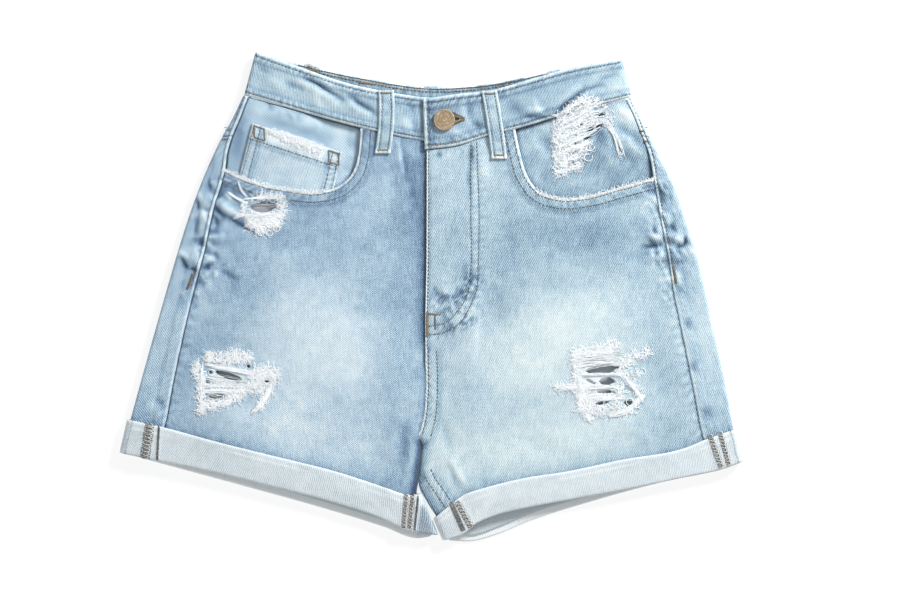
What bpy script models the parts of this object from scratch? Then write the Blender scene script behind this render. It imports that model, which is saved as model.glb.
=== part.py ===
"""Denim shorts laid flat on a surface, front side up, legs turned up into cuffs.

World frame in metres: +X is the wearer's left, +Y runs to the waist, +Z is up.
The origin lies on the surface, below the middle of the shorts' box.
Every length in this file is in millimetres until a mesh is made.
"""
import math

import bmesh
import bpy
import numpy as np
from mathutils import Vector

COLLECTION = "denim_shorts"
CUTTERS = "denim_shorts_cutters"
MM = 0.001

# Moves the whole planform so that its box is centred on the origin.
DATUM = (0.0, 0.4)

# Thickness of the cloth walls.
DENIM = 1.2
BAND = 2.0
CUFF = 1.8
POCKETING = 1.0
LOOP = 1.4
PATCH = 1.8

# Play left between neighbouring pieces: across a lap and along a butted seam.
LAP_GAP = 0.3
COIN_GAP = 0.6
SEAM_GAP = 0.5

# Height of the middle of each layer of cloth above the surface.
BACK_LEVEL = PATCH + LAP_GAP + DENIM / 2
BAG_LEVEL = BACK_LEVEL + DENIM / 2 + LAP_GAP + POCKETING / 2
COIN_LEVEL = BAG_LEVEL + POCKETING + COIN_GAP
FRONT_LEVEL = COIN_LEVEL + POCKETING / 2 + LAP_GAP + DENIM / 2
CUFF_BACK_LEVEL = CUFF / 2
CUFF_FRONT_LEVEL = FRONT_LEVEL + DENIM / 2 + LAP_GAP + CUFF / 2
BAND_BACK_LEVEL = PATCH + LAP_GAP + BAND / 2
BAND_FRONT_LEVEL = FRONT_LEVEL - DENIM / 2 + BAND / 2

# The wearer's left front laps over the right one along the fly.
FLY_LIFT = 0.9
FLY_BOTTOM_Y = -50.0
FLY_FADE = 20.0
BAND_UNDERLAP_DROP = 1.0
BAND_OVERLAP_LIFT = 1.3
CROTCH_Y = -115.0
CROTCH_TURN = 8.0

# Tack button and its keyhole.
BUTTON_X, BUTTON_Y = 10.7, 148.0
BUTTON_RADIUS = 9.0
BUTTON_HEIGHT = 3.2
SHANK_RADIUS = 3.0
KEYHOLE_REACH = 17.0
KEYHOLE_SLIT = 1.2

# Each side of the legs, hem to waist: outline_x, outline_y, seam_x, seam_y.
# The back panel turns over the outline and meets the front at the side seam.
YOKE_ROW = 9
SIDE_RIGHT = (
    (-259.0, -126.0, -233.0, -133.0),
    (-253.0, -103.0, -224.5, -110.0),
    (-244.0, -70.0, -217.0, -72.0),
    (-232.0, -27.0, -207.5, -27.0),
    (-222.0, 8.0, -199.0, 8.0),
    (-212.0, 42.0, -190.0, 42.0),
    (-203.0, 70.0, -184.0, 71.0),
    (-190.0, 104.0, -174.0, 105.0),
    (-181.5, 123.0, -171.0, 124.0),
    (-176.0, 134.0, -167.5, 135.0),
    (-168.0, 148.0, -161.5, 149.0),
    (-158.0, 169.5, -154.0, 168.0),
)
SIDE_LEFT = (
    (258.5, -133.0, 236.5, -141.0),
    (253.5, -110.0, 228.0, -118.0),
    (247.0, -74.0, 219.5, -76.0),
    (237.0, -28.0, 209.8, -28.0),
    (230.0, 5.0, 203.0, 5.0),
    (222.0, 38.0, 198.0, 38.0),
    (214.5, 60.0, 193.0, 62.0),
    (203.0, 94.0, 187.5, 95.0),
    (190.5, 119.0, 182.5, 121.0),
    (183.5, 134.0, 177.0, 135.0),
    (175.5, 150.0, 170.5, 151.0),
    (167.5, 167.0, 163.5, 165.5),
)

# Points taken from each span of a smooth line where two pieces share it.
STEPS = 4

# Rows of points up a panel: below the crotch, up the centre seam, beside the fly, up the back.
LEG_ROWS, SEAM_ROWS, FLY_ROWS, BACK_ROWS = 6, 5, 9, 11

# Inner edge of each leg and centre seam, hem to waist: x, y.
LEG_INNER_RIGHT = ((-4.5, -194.0), (-9.0, -183.0), (-13.3, -167.0), (-13.5, -150.0), (-12.5, -130.0))
LEG_INNER_LEFT = ((13.0, -198.0), (7.0, -189.0), (-4.0, -172.0), (-10.2, -160.0), (-11.0, -153.0),
                  (-8.0, -143.0), (-6.5, -129.0))
CENTRE_FRONT_SEAM = ((-10.0, -115.0), (-6.5, -101.0), (-5.0, -85.0), (-5.2, -45.0))
CENTRE_BACK = ((-10.0, -115.0), (-8.0, -90.0), (-4.0, -40.0), (-1.0, 40.0), (0.0, 104.0))
FLY_EXTENSION = ((8.0, -34.0), (8.0, 50.0), (8.0, 129.6))
FLY_EDGE = ((-5.2, -45.0), (-5.4, -33.0), (-4.5, 30.0), (-4.2, 123.2))

# Hems inside the cuffs, outer side to inner side: x, y.
HEM_FRONT_RIGHT = ((-233.0, -133.0), (-186.0, -141.5), (-135.0, -154.0), (-84.0, -167.0),
                   (-42.0, -181.0), (-22.0, -189.0), (-4.5, -194.0))
HEM_BACK_RIGHT = ((-259.0, -126.0), (-230.0, -134.0), (-160.0, -153.0), (-80.0, -176.0),
                  (-40.0, -188.5), (-16.0, -196.5), (-4.5, -194.0))
HEM_FRONT_LEFT = ((236.5, -141.0), (162.0, -157.0), (112.0, -166.0), (80.0, -172.0),
                  (52.0, -179.0), (39.0, -184.5), (28.0, -193.0), (13.0, -198.0))
HEM_BACK_LEFT = ((258.5, -133.0), (235.0, -142.0), (200.0, -150.0), (136.0, -167.0),
                 (80.0, -184.0), (56.0, -194.0), (34.0, -201.0), (13.0, -198.0))

# Waist seam of the front, side to centre, and of the back, side to side: x, y.
WAIST_FRONT_RIGHT = ((-157.5, 169.5), (-120.0, 158.5), (-80.0, 147.2), (-45.0, 138.6), (-6.0, 131.0))
WAIST_UNDERLAP = (24.0, 129.5)
WAIST_FRONT_LEFT = ((168.0, 168.0), (120.0, 155.8), (80.0, 143.4), (47.0, 135.0), (20.0, 126.5),
                    (-5.5, 123.5))
WAIST_BACK_MIDDLE = 3
WAIST_BACK = ((-157.5, 169.5), (-115.0, 158.0), (-62.0, 146.0), (0.0, 137.0), (52.0, 141.0),
              (105.0, 152.0), (168.0, 168.0))

# Upper edge of the waistband, in the same order as the seams above: x, y.
TOP_FRONT_RIGHT = ((-148.0, 205.5), (-110.0, 192.0), (-70.0, 178.5), (-40.0, 172.0), (-6.0, 167.3))
TOP_UNDERLAP = (24.0, 167.0)
TOP_FRONT_LEFT = ((160.0, 199.5), (115.0, 191.0), (80.0, 181.0), (50.0, 173.0), (20.0, 169.5),
                  (-7.0, 165.5))
TOP_BACK = ((-148.0, 205.5), (-110.0, 195.0), (-60.0, 184.0), (0.0, 175.5), (50.0, 178.5),
            (100.0, 188.5), (160.0, 199.5))

# Yoke seam across the back, side to centre: x, y.
YOKE_RIGHT = ((-176.0, 134.0), (-90.0, 118.0), (0.0, 104.0))
YOKE_LEFT = ((183.5, 134.0), (95.0, 118.0), (0.0, 104.0))

# Turned-up cuffs, outer side to inner side: top_x, top_y, fold_x, fold_y.
CUFF_FRONT_RIGHT = (
    (-256.0, -103.0, -262.5, -131.0),
    (-228.0, -109.0, -236.0, -136.5),
    (-180.0, -122.0, -186.0, -146.5),
    (-130.0, -134.5, -135.0, -159.0),
    (-80.0, -147.0, -84.0, -172.0),
    (-40.0, -160.0, -42.0, -186.0),
    (-22.0, -166.0, -20.0, -194.5),
    (-10.5, -165.0, 2.0, -199.5),
)
CUFF_BACK_RIGHT = (
    (-256.0, -103.0, -262.5, -131.0),
    (-225.0, -114.0, -230.0, -140.0),
    (-155.0, -132.0, -160.0, -159.0),
    (-76.0, -155.0, -80.0, -181.5),
    (-37.0, -167.0, -40.0, -194.0),
    (-18.0, -170.0, -14.0, -203.5),
    (-10.5, -165.0, 2.0, -199.5),
)
CUFF_FRONT_LEFT = (
    (256.0, -111.0, 262.5, -138.0),
    (230.0, -120.0, 240.0, -146.0),
    (213.0, -127.0, 220.0, -150.0),
    (160.0, -137.0, 162.0, -162.0),
    (110.0, -147.5, 112.0, -171.0),
    (80.0, -152.0, 80.0, -177.0),
    (45.0, -160.5, 52.0, -184.0),
    (28.0, -166.0, 38.0, -190.0),
    (12.0, -178.0, 26.0, -199.5),
    (1.5, -187.0, 9.0, -205.0),
)
CUFF_BACK_LEFT = (
    (256.0, -111.0, 262.5, -138.0),
    (232.0, -123.0, 238.0, -147.0),
    (196.0, -130.0, 200.0, -155.0),
    (133.0, -147.0, 136.5, -172.0),
    (77.0, -164.0, 80.0, -190.0),
    (50.0, -172.0, 56.0, -200.0),
    (26.0, -180.0, 34.0, -206.0),
    (1.5, -187.0, 9.0, -205.0),
)

# Front pockets: the scooped mouth, side seam to waist: x, y.
SCOOP_RIGHT = ((-174.0, 107.0), (-150.0, 96.5), (-120.0, 90.0), (-95.0, 88.0), (-78.0, 92.5),
               (-66.0, 104.0), (-61.5, 118.0), (-59.5, 141.0))
SCOOP_LEFT = ((187.5, 99.5), (160.0, 92.0), (130.0, 84.0), (108.0, 82.5), (90.0, 88.5),
              (80.0, 102.0), (74.5, 120.0), (70.0, 141.0))
SCOOP_MARGIN = 25.0

# Denim facing behind each mouth and the cotton bag below it, side to centre: x, y.
FACING_HEM_RIGHT = ((-178.5, 86.0), (-140.0, 82.0), (-100.0, 76.0), (-48.0, 74.0))
FACING_HEM_LEFT = ((191.0, 77.0), (150.0, 73.0), (110.0, 70.0), (58.0, 72.0))
FACING_INNER_RIGHT = ((-48.0, 74.0), (-48.0, 139.0))
FACING_INNER_LEFT = ((58.0, 72.0), (58.0, 137.2))
BAG_FLOOR_RIGHT = ((-168.0, 42.0), (-150.0, 20.0), (-110.0, 12.0), (-70.0, 16.0), (-52.0, 34.0))
BAG_FLOOR_LEFT = ((182.0, 36.0), (160.0, 14.0), (125.0, 6.0), (85.0, 10.0), (62.0, 30.0))

# The facing dips below the mouth and rises to the panels' level beside the waist seam.
FACING_DIP_Y = (98.0, 134.0)
FACING_DIP_X_RIGHT = (-80.0, -112.0)
FACING_DIP_X_LEFT = (90.0, 124.0)

# Coin pocket, on the right facing: corners x, y from top outer round to bottom outer.
COIN_CORNERS = ((-150.0, 145.5), (-75.0, 121.0), (-84.0, 82.5), (-165.0, 88.5))

# Back pockets and belt loops.
BACK_POCKET_WIDTH = 128.0
BACK_POCKET_SIDE = 112.0
BACK_POCKET_POINT = 22.0
BACK_POCKET_TAPER = 7.0
BACK_POCKET_CENTRES = {"right": (-84.0, 100.0, -7.0), "left": (84.0, 100.0, 7.0)}
LOOP_WIDTH = 13.0
FRONT_LOOPS = {"right": ((-38.0, 173.0), (-41.0, 120.0)), "left": ((48.5, 172.5), (57.0, 115.5))}
BACK_LOOPS = {"right": (-107.0, 167.0, -13.0), "centre": (0.0, 149.0, 0.0), "left": (109.0, 163.0, 12.0)}
BACK_LOOP_LENGTH = 56.0

ZIP_WIDTH = 26.0
ZIP_BOTTOM_Y, ZIP_TOP_Y = -24.0, 126.0
ZIP_CENTRE_X = 12.0

# Main folds of the upper layer: x0, y0, x1, y1, height, width.
FOLDS = (
    (-198.0, 82.0, -168.0, 74.0, 1.4, 6.0),
    (-186.0, 66.0, -150.0, 52.0, -0.8, 5.0),
    (-200.0, 56.0, -172.0, 46.0, 1.3, 7.0),
    (-213.0, 34.0, -184.0, 22.0, 1.5, 6.0),
    (-205.0, 20.0, -172.0, 10.0, -0.7, 6.0),
    (-22.0, 118.0, -24.0, 40.0, 1.2, 9.0),
    (176.0, 53.0, 210.0, 53.0, 1.4, 5.0),
    (180.0, 43.0, 212.0, 44.0, -0.9, 4.0),
    (178.0, 33.0, 214.0, 35.0, 1.3, 6.0),
    (64.0, 70.0, 66.0, 4.0, -0.7, 14.0),
    (6.0, 6.0, 24.0, -8.0, 0.8, 5.0),
    (10.0, -128.0, 20.0, -146.0, 0.9, 8.0),
    (-30.0, -118.0, -36.0, -140.0, 0.9, 8.0),
)

COLOURS = {
    "denim": (0.42, 0.55, 0.66, 1.0),
    "denim_reverse": (0.70, 0.76, 0.78, 1.0),
    "pocketing": (0.68, 0.68, 0.74, 1.0),
    "copper": (0.55, 0.36, 0.26, 1.0),
    "zip_tape": (0.75, 0.74, 0.70, 1.0),
}


# ---------------------------------------------------------------- curves and levels

def smooth(points, where):
    """Points at the given shares (0 to 1) of a cubic that runs through the listed ones."""
    p = np.array(points, float)
    chord = np.concatenate(([0.0], np.cumsum(np.linalg.norm(np.diff(p, axis=0), axis=1))))
    slope = np.gradient(p, chord, axis=0) if len(p) > 2 else np.repeat(np.diff(p, axis=0) / chord[-1], 2, 0)
    at = np.clip(np.asarray(where, float), 0.0, 1.0) * chord[-1]
    i = np.clip(np.searchsorted(chord, at, side="right") - 1, 0, len(p) - 2)
    span = (chord[i + 1] - chord[i])[:, None]
    u = ((at - chord[i])[:, None]) / span
    return ((2 * u**3 - 3 * u**2 + 1) * p[i] + (u**3 - 2 * u**2 + u) * span * slope[i]
            + (3 * u**2 - 2 * u**3) * p[i + 1] + (u**3 - u**2) * span * slope[i + 1])


def dense(points):
    """The smooth line through the points with STEPS points for each span between two of them."""
    p = np.array(points, float)
    chord = np.concatenate(([0.0], np.cumsum(np.linalg.norm(np.diff(p, axis=0), axis=1))))
    where = np.interp(np.arange((len(p) - 1) * STEPS + 1) / STEPS, np.arange(len(p)), chord / chord[-1])
    return tuple(tuple(q) for q in smooth(points, where))


def ramp(value, start, end):
    """0 at start, 1 at end, smooth between, for numbers or arrays."""
    u = np.clip((np.asarray(value, float) - start) / (end - start), 0.0, 1.0)
    return u * u * (3.0 - 2.0 * u)


def folds(x, y):
    """Height that the main folds add to the upper layer at x, y."""
    total = np.zeros_like(x, dtype=float)
    for x0, y0, x1, y1, height, width in FOLDS:
        dx, dy = x1 - x0, y1 - y0
        length = math.hypot(dx, dy)
        share = ((x - x0) * dx + (y - y0) * dy) / length**2
        across = ((x - x0) * dy - (y - y0) * dx) / length
        fade = np.clip(1.0 - (2.0 * share - 1.0)**2, 0.0, 1.0)
        total += height * fade * np.exp(-(across / width)**2)
    return total


def fly_share(x, y, start, end):
    return ramp(x, start, end) * ramp(y, FLY_BOTTOM_Y - FLY_FADE, FLY_BOTTOM_Y)


def right_front_level(x, y):
    return FRONT_LEVEL + folds(x, y) - FLY_LIFT * fly_share(x, y, -18.0, -8.0)


def left_front_level(x, y):
    return FRONT_LEVEL + folds(x, y) + FLY_LIFT * fly_share(x, y, 42.0, 34.0)


def side_strip_level(x, y):
    return FRONT_LEVEL + folds(x, y)


# ---------------------------------------------------------------- making pieces

def material(name):
    """A new Principled material for one piece, in the colour of its kind of stuff."""
    kind = KINDS.get(name, "denim")
    made = bpy.data.materials.new(name + "_material")
    made.use_nodes = True
    shader = made.node_tree.nodes["Principled BSDF"]
    shader.inputs["Base Color"].default_value = COLOURS[kind]
    shader.inputs["Roughness"].default_value = 0.35 if kind == "copper" else 0.9
    shader.inputs["Metallic"].default_value = 1.0 if kind == "copper" else 0.0
    return made


KINDS = {
    "cuff_right": "denim_reverse", "cuff_left": "denim_reverse",
    "pocket_bag_right": "pocketing", "pocket_bag_left": "pocketing",
    "button": "copper", "fly_zip": "zip_tape",
}


def place(name, mesh, collection):
    made = bpy.data.objects.new(name, mesh)
    collection.objects.link(made)
    mesh.materials.append(material(name))
    return made


def grid_faces(rows, columns, closed=False):
    """Quads between neighbouring rows and columns of a grid of points."""
    last = columns if closed else columns - 1
    return [(r * columns + c, r * columns + (c + 1) % columns,
             (r + 1) * columns + (c + 1) % columns, (r + 1) * columns + c)
            for r in range(rows - 1) for c in range(last)]


def wall(name, points, thickness, collection, closed=False):
    """A cloth wall: a grid of middle points (rows, columns, 3) given its thickness by Solidify."""
    rows, columns = points.shape[:2]
    shifted = (points + np.array((*DATUM, 0.0))) * MM
    mesh = bpy.data.meshes.new(name)
    mesh.from_pydata(shifted.reshape(-1, 3).tolist(), [], grid_faces(rows, columns, closed))
    made = place(name, mesh, collection)
    solid = made.modifiers.new("thickness", "SOLIDIFY")
    solid.thickness = thickness * MM
    solid.offset = 0.0
    return made


def prism(name, outline, low, high, collection):
    """A straight-sided solid over a flat outline, from one height to another."""
    mesh = bpy.data.meshes.new(name)
    bm = bmesh.new()
    corners = [bm.verts.new(((x + DATUM[0]) * MM, (y + DATUM[1]) * MM, low * MM)) for x, y in outline]
    base = bm.faces.new(corners)
    rise = bmesh.ops.extrude_face_region(bm, geom=[base])["geom"]
    bmesh.ops.translate(bm, vec=(0.0, 0.0, (high - low) * MM),
                        verts=[v for v in rise if isinstance(v, bmesh.types.BMVert)])
    bmesh.ops.recalc_face_normals(bm, faces=bm.faces)
    bm.to_mesh(mesh)
    bm.free()
    return place(name, mesh, collection)


def cut(piece, cutter):
    """Take the cutter's space out of the piece."""
    cutter.hide_render = True
    cutter.display_type = "WIRE"
    boolean = piece.modifiers.new("cut_" + cutter.name, "BOOLEAN")
    boolean.operation = "DIFFERENCE"
    boolean.object = cutter


def chain(*parts):
    """Points along several smooth lines end to end, each cut into its own number of steps."""
    out = [smooth(line, np.linspace(0.0, 1.0, steps + 1))[0 if i == 0 else 1:]
           for i, (line, steps) in enumerate(parts)]
    return np.vstack(out)


def patch(lower, upper, start, end, across):
    """Planform points (rows, columns, 2) of a four-sided patch between its edges.

    lower and upper are lines from the start edge to the end edge, taken at the shares in across.
    start and end are equally many points, from lower to upper.
    """
    s = np.asarray(across, float)[None, :, None]
    t = np.linspace(0.0, 1.0, len(start))[:, None, None]
    low, high = smooth(lower, across)[None], smooth(upper, across)[None]
    corners = ((1 - s) * (1 - t) * low[:, :1] + s * (1 - t) * low[:, -1:]
               + (1 - s) * t * high[:, :1] + s * t * high[:, -1:])
    return (1 - t) * low + t * high + (1 - s) * start[:, None] + s * end[:, None] - corners


def lift(planform, level):
    """Give planform points their height from a function of x and y, or a number."""
    x, y = planform[..., 0], planform[..., 1]
    z = level(x, y) if callable(level) else np.full_like(x, level)
    return np.dstack((x, y, z))


def shifted(points, dx=0.0, dy=0.0):
    return tuple((x + dx, y + dy) for x, y in points)


# ---------------------------------------------------------------- fronts and backs

FOLD_RADIUS = (FRONT_LEVEL - BACK_LEVEL) / 2
CURL_STEPS = (3.2, 1.9, 0.9, 0.25, 0.0)
PANEL_WIDTH = 220.0


def curl(points, direction):
    """Turn the inner edge of a leg towards the other layer, as a quarter round."""
    edge = points[:, -1:, :2]
    distance = np.linalg.norm(points[..., :2] - edge, axis=2)
    inside = np.clip(FOLD_RADIUS - distance, 0.0, FOLD_RADIUS)
    drop = FOLD_RADIUS - np.sqrt(FOLD_RADIUS**2 - inside**2)
    drop = np.minimum(drop, FOLD_RADIUS - LAP_GAP)
    below = ramp(points[..., 1], CROTCH_Y, CROTCH_Y - CROTCH_TURN)
    points[..., 2] += direction * drop * below
    return points


def across_panel(count):
    """Shares across a panel, with close steps at its inner edge for the round turn."""
    main = np.linspace(0.0, 1.0 - 9.0 / PANEL_WIDTH, count)
    return np.concatenate((main, [1.0 - d / PANEL_WIDTH for d in CURL_STEPS]))


def side_seam(table, sign):
    """The front's side edge: the side seam, moved in by the seam's gap."""
    return tuple((row[2] - sign * SEAM_GAP, row[3]) for row in table)


def front(name, side, hem, waist, inner, scoop, level, pieces, cutters):
    """One front: a patch from side seam to centre with its pocket mouth cut away."""
    sign = 1.0 if side is SIDE_LEFT else -1.0
    seam = side_seam(side, sign)
    lower = (seam[0],) + hem[1:-1] + (tuple(inner[0]),)
    upper = (seam[-1],) + shifted(waist[1:-1], dy=-SEAM_GAP) + (tuple(inner[-1]),)
    start = smooth(seam, np.linspace(0.0, 1.0, len(inner)))
    planform = patch(lower, upper, start, inner, across_panel(12))
    made = wall(name, curl(lift(planform, level), -1.0), DENIM, pieces)
    mouth = smooth(scoop, np.linspace(0.0, 1.0, 22)).tolist()
    outside = [(scoop[-1][0], scoop[-1][1] + 2 * SCOOP_MARGIN),
               (scoop[0][0] + sign * SCOOP_MARGIN, scoop[-1][1] + 2 * SCOOP_MARGIN),
               (scoop[0][0] + sign * SCOOP_MARGIN, scoop[0][1] + 4.0)]
    cut(made, prism("mouth_of_" + name, mouth + outside, 0.0, 20.0, cutters))


def over_the_side(side_rows, planform, strip=4, turn=5):
    """Join a strip on top, a half-round turn and the lower layer into one grid of points."""
    outline, seam = side_rows[:, :2], side_rows[:, 2:]
    inward = (seam - outline) / np.linalg.norm(seam - outline, axis=1, keepdims=True)
    centre = outline + inward * (FOLD_RADIUS + DENIM / 2)
    middle = (FRONT_LEVEL + BACK_LEVEL) / 2
    columns = []
    for share in np.linspace(0.0, 1.0, strip):
        at = seam + (centre - seam) * share
        columns.append(np.column_stack((at, side_strip_level(at[:, 0], at[:, 1]))))
    crest = columns[-1][:, 2] - middle
    for angle in np.linspace(0.0, math.pi, turn + 2)[1:-1]:
        at = centre - inward * FOLD_RADIUS * math.sin(angle)
        reach = crest if angle < math.pi / 2 else np.full(len(at), FOLD_RADIUS)
        columns.append(np.column_stack((at, middle + reach * math.cos(angle))))
    columns += [np.column_stack((planform[:, c], np.full(len(planform), BACK_LEVEL)))
                for c in range(planform.shape[1])]
    return np.stack(columns, axis=1)


def lower_layer(side_rows, lower, upper, inner, across):
    """Planform of the lower layer, from the turn at the side to its inner edge."""
    outline, seam = side_rows[:, :2], side_rows[:, 2:]
    inward = (seam - outline) / np.linalg.norm(seam - outline, axis=1, keepdims=True)
    start = outline + inward * (FOLD_RADIUS + DENIM / 2)
    lower = (tuple(start[0]),) + lower[1:-1] + (tuple(inner[0]),)
    upper = (tuple(start[-1]),) + upper[1:-1] + (tuple(inner[-1]),)
    return patch(lower, upper, start, inner, across)


def back(name, side, hem, yoke_seam, inner, pieces):
    """One back panel, from the side seam on top, round the side, to the centre back."""
    rows = smooth(dense(side)[:STEPS * YOKE_ROW + 1], np.linspace(0.0, 1.0, len(inner)))
    rows[-1, 1::2] -= SEAM_GAP
    planform = lower_layer(rows, hem, shifted(dense(yoke_seam), dy=-SEAM_GAP), inner, across_panel(6))
    points = over_the_side(rows, planform)
    first = points.shape[1] - planform.shape[1]
    points[:, first:] = curl(points[:, first:], 1.0)
    wall(name, points, DENIM, pieces)


def yoke(name, side, seam, waist, pieces):
    """The shaped strip between a back panel and the waistband."""
    sign = 1.0 if side is SIDE_LEFT else -1.0
    rows = smooth(dense(side)[STEPS * YOKE_ROW:], np.linspace(0.0, 1.0, 5))
    rows[-1, 1::2] -= SEAM_GAP
    centre = ((sign * SEAM_GAP / 2, seam[-1][1]), (sign * SEAM_GAP / 2, waist[-1][1] - SEAM_GAP))
    inner = smooth(centre, np.linspace(0.0, 1.0, len(rows)))
    planform = lower_layer(rows, dense(seam), shifted(waist, dy=-SEAM_GAP), inner, np.linspace(0.0, 1.0, 8))
    wall(name, over_the_side(rows, planform), DENIM, pieces)


# ---------------------------------------------------------------- bands that go round

def turn_points(end, inward, low, high, thickness, steps):
    """Middle points of a half-round turn at a flattened band's end, from high to low."""
    radius = (high - low) / 2
    centre = end + inward * (radius + thickness / 2)
    out = []
    for angle in np.linspace(0.0, math.pi, steps):
        at = centre - inward * radius * math.sin(angle)
        out.append((at[0], at[1], (high + low) / 2 + radius * math.cos(angle)))
    return out


def trimmed(points, at_start, at_end):
    """Drop the points of a line that lie within a distance of its ends."""
    keep = [p for p in points
            if np.linalg.norm(p - points[0]) > at_start and np.linalg.norm(p - points[-1]) > at_end]
    return keep


def inward_of(points, at_end):
    step = points[-4] - points[-1] if at_end else points[3] - points[0]
    return step / np.linalg.norm(step)


def cuff(name, front_table, back_table, pieces):
    """A turned-up cuff: a ring of cloth pressed flat round the end of the leg."""
    low, high = CUFF_BACK_LEVEL, CUFF_FRONT_LEVEL
    share = np.linspace(0.0, 1.0, 25)
    front_rows, back_rows = smooth(front_table, share), smooth(back_table, share)[::-1]
    rows = []
    for k in np.linspace(0.0, 1.0, 4):
        front_line = front_rows[:, :2] * (1 - k) + front_rows[:, 2:] * k
        back_line = back_rows[:, :2] * (1 - k) + back_rows[:, 2:] * k
        reach = (high - low) / 2 + CUFF / 2 + 1.0
        row = [(p[0], p[1], high) for p in trimmed(front_line, reach, reach)]
        row += turn_points(front_line[-1], inward_of(front_line, True), low, high, CUFF, 7)
        row += [(p[0], p[1], low) for p in trimmed(back_line, reach, reach)]
        outer = turn_points(front_line[0], inward_of(front_line, False), low, high, CUFF, 7)
        rows.append(row + outer[::-1])
    shortest = min(len(row) for row in rows)
    if any(len(row) != shortest for row in rows):
        raise ValueError("uneven rows in " + name)
    wall(name, np.array(rows), CUFF, pieces, closed=True)


def waistband(pieces, cutters):
    """The waistband: left front end, round the left side, the back, the right side, right end."""
    low, high = BAND_BACK_LEVEL, BAND_FRONT_LEVEL
    reach = (high - low) / 2 + BAND / 2 + 1.0
    share = np.linspace(0.0, 1.0, 19)
    tables = (
        (WAIST_FRONT_LEFT[::-1], TOP_FRONT_LEFT[::-1], share),
        (WAIST_BACK[::-1], TOP_BACK[::-1], np.linspace(0.0, 1.0, 21)),
        (WAIST_FRONT_RIGHT + (WAIST_UNDERLAP,), TOP_FRONT_RIGHT + (TOP_UNDERLAP,), share),
    )
    rows = []
    for k in np.linspace(0.0, 1.0, 4):
        left, rear, right = (smooth(seam, s) * (1 - k) + smooth(top, s) * k for seam, top, s in tables)
        row = [(p[0], p[1], high + BAND_OVERLAP_LIFT * float(ramp(p[0], 40.0, 26.0)))
               for p in trimmed(left, -1.0, reach)]
        row += turn_points(left[-1], inward_of(left, True), low, high, BAND, 7)
        row += [(p[0], p[1], low) for p in trimmed(rear, reach, reach)]
        row += turn_points(right[0], inward_of(right, False), low, high, BAND, 7)[::-1]
        row += [(p[0], p[1], high - BAND_UNDERLAP_DROP * float(ramp(p[0], -22.0, -10.0)))
                for p in trimmed(right, reach, -1.0)]
        rows.append(row)
    if len({len(row) for row in rows}) != 1:
        raise ValueError("uneven rows in the waistband")
    made = wall("waistband", np.array(rows), BAND, pieces)
    angles = np.linspace(0.25 * math.pi, 1.75 * math.pi, 13)
    radius = SHANK_RADIUS + LAP_GAP
    keyhole = [(BUTTON_X + radius * math.cos(a), BUTTON_Y + radius * math.sin(a)) for a in angles]
    tip = BUTTON_X + KEYHOLE_REACH
    keyhole += [(tip, BUTTON_Y - KEYHOLE_SLIT), (tip, BUTTON_Y + KEYHOLE_SLIT)]
    overlap_floor = high - BAND / 2 + BAND_OVERLAP_LIFT
    cut(made, prism("keyhole", keyhole, overlap_floor - LAP_GAP / 2, overlap_floor + 2 * BAND, cutters))


# ---------------------------------------------------------------- pockets, loops, closure

def facing_level(x_dip):
    """Height of a pocket facing: low behind the mouth, level with the panels by the waist."""
    def level(x, y):
        rise = ramp(y, *FACING_DIP_Y) * ramp(x, *x_dip)
        return BAG_LEVEL + (FRONT_LEVEL - DENIM / 2 + POCKETING / 2 - BAG_LEVEL) * rise
    return level


def front_pocket(name, side, waist, hem, inner, floor, x_dip, pieces):
    """The denim facing behind a pocket mouth, and the cotton bag that hangs below it."""
    sign = 1.0 if side is SIDE_LEFT else -1.0
    seam = np.array([(row[2] - sign * 2 * SEAM_GAP, row[3]) for row in side])
    edge = (hem[0],) + tuple(p for p in dense(seam) if p[1] > hem[0][1] + 3.0)
    reach = [p for p in dense(waist) if abs(p[0]) > abs(inner[-1][0])]
    upper = (edge[-1],) + shifted(reach[1:], dy=-2 * SEAM_GAP) + (inner[-1],)
    steps = np.linspace(0.0, 1.0, 9)
    planform = patch(dense(hem), upper, smooth(edge, steps), smooth(inner, steps), np.linspace(0.0, 1.0, 11))
    wall("pocket_facing_" + name, lift(planform, facing_level(x_dip)), POCKETING, pieces)
    brim = shifted(dense(hem), dy=-SEAM_GAP)
    steps = np.linspace(0.0, 1.0, 4)
    bag = patch(floor, brim, smooth((floor[0], brim[0]), steps), smooth((floor[-1], brim[-1]), steps),
                np.linspace(0.0, 1.0, 11))
    wall("pocket_bag_" + name, lift(bag, BAG_LEVEL), POCKETING, pieces)


def coin_pocket(pieces):
    """The coin pocket, on the right facing's own surface, moved out."""
    top_outer, top_inner, low_inner, low_outer = COIN_CORNERS
    steps = np.linspace(0.0, 1.0, 7)
    planform = patch((low_outer, low_inner), (top_outer, top_inner), smooth((low_outer, top_outer), steps),
                     smooth((low_inner, top_inner), steps), steps)
    level = facing_level(FACING_DIP_X_RIGHT)
    wall("coin_pocket", lift(planform, lambda x, y: level(x, y) + POCKETING + COIN_GAP), POCKETING, pieces)


def turned(x, y, centre, angle):
    c, s = math.cos(math.radians(angle)), math.sin(math.radians(angle))
    return centre[0] + c * x - s * y, centre[1] + s * x + c * y


def back_pocket(name, centre_x, top_y, angle, pieces):
    """A five-sided patch pocket, pointed at the bottom."""
    half = BACK_POCKET_WIDTH / 2
    shape = ((-half, 0.0), (half, 0.0), (half - BACK_POCKET_TAPER, -BACK_POCKET_SIDE),
             (0.0, -BACK_POCKET_SIDE - BACK_POCKET_POINT), (-half + BACK_POCKET_TAPER, -BACK_POCKET_SIDE))
    outline = [turned(x, y, (centre_x, top_y), angle) for x, y in shape]
    prism("back_pocket_" + name, outline, 0.0, PATCH, pieces)


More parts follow.
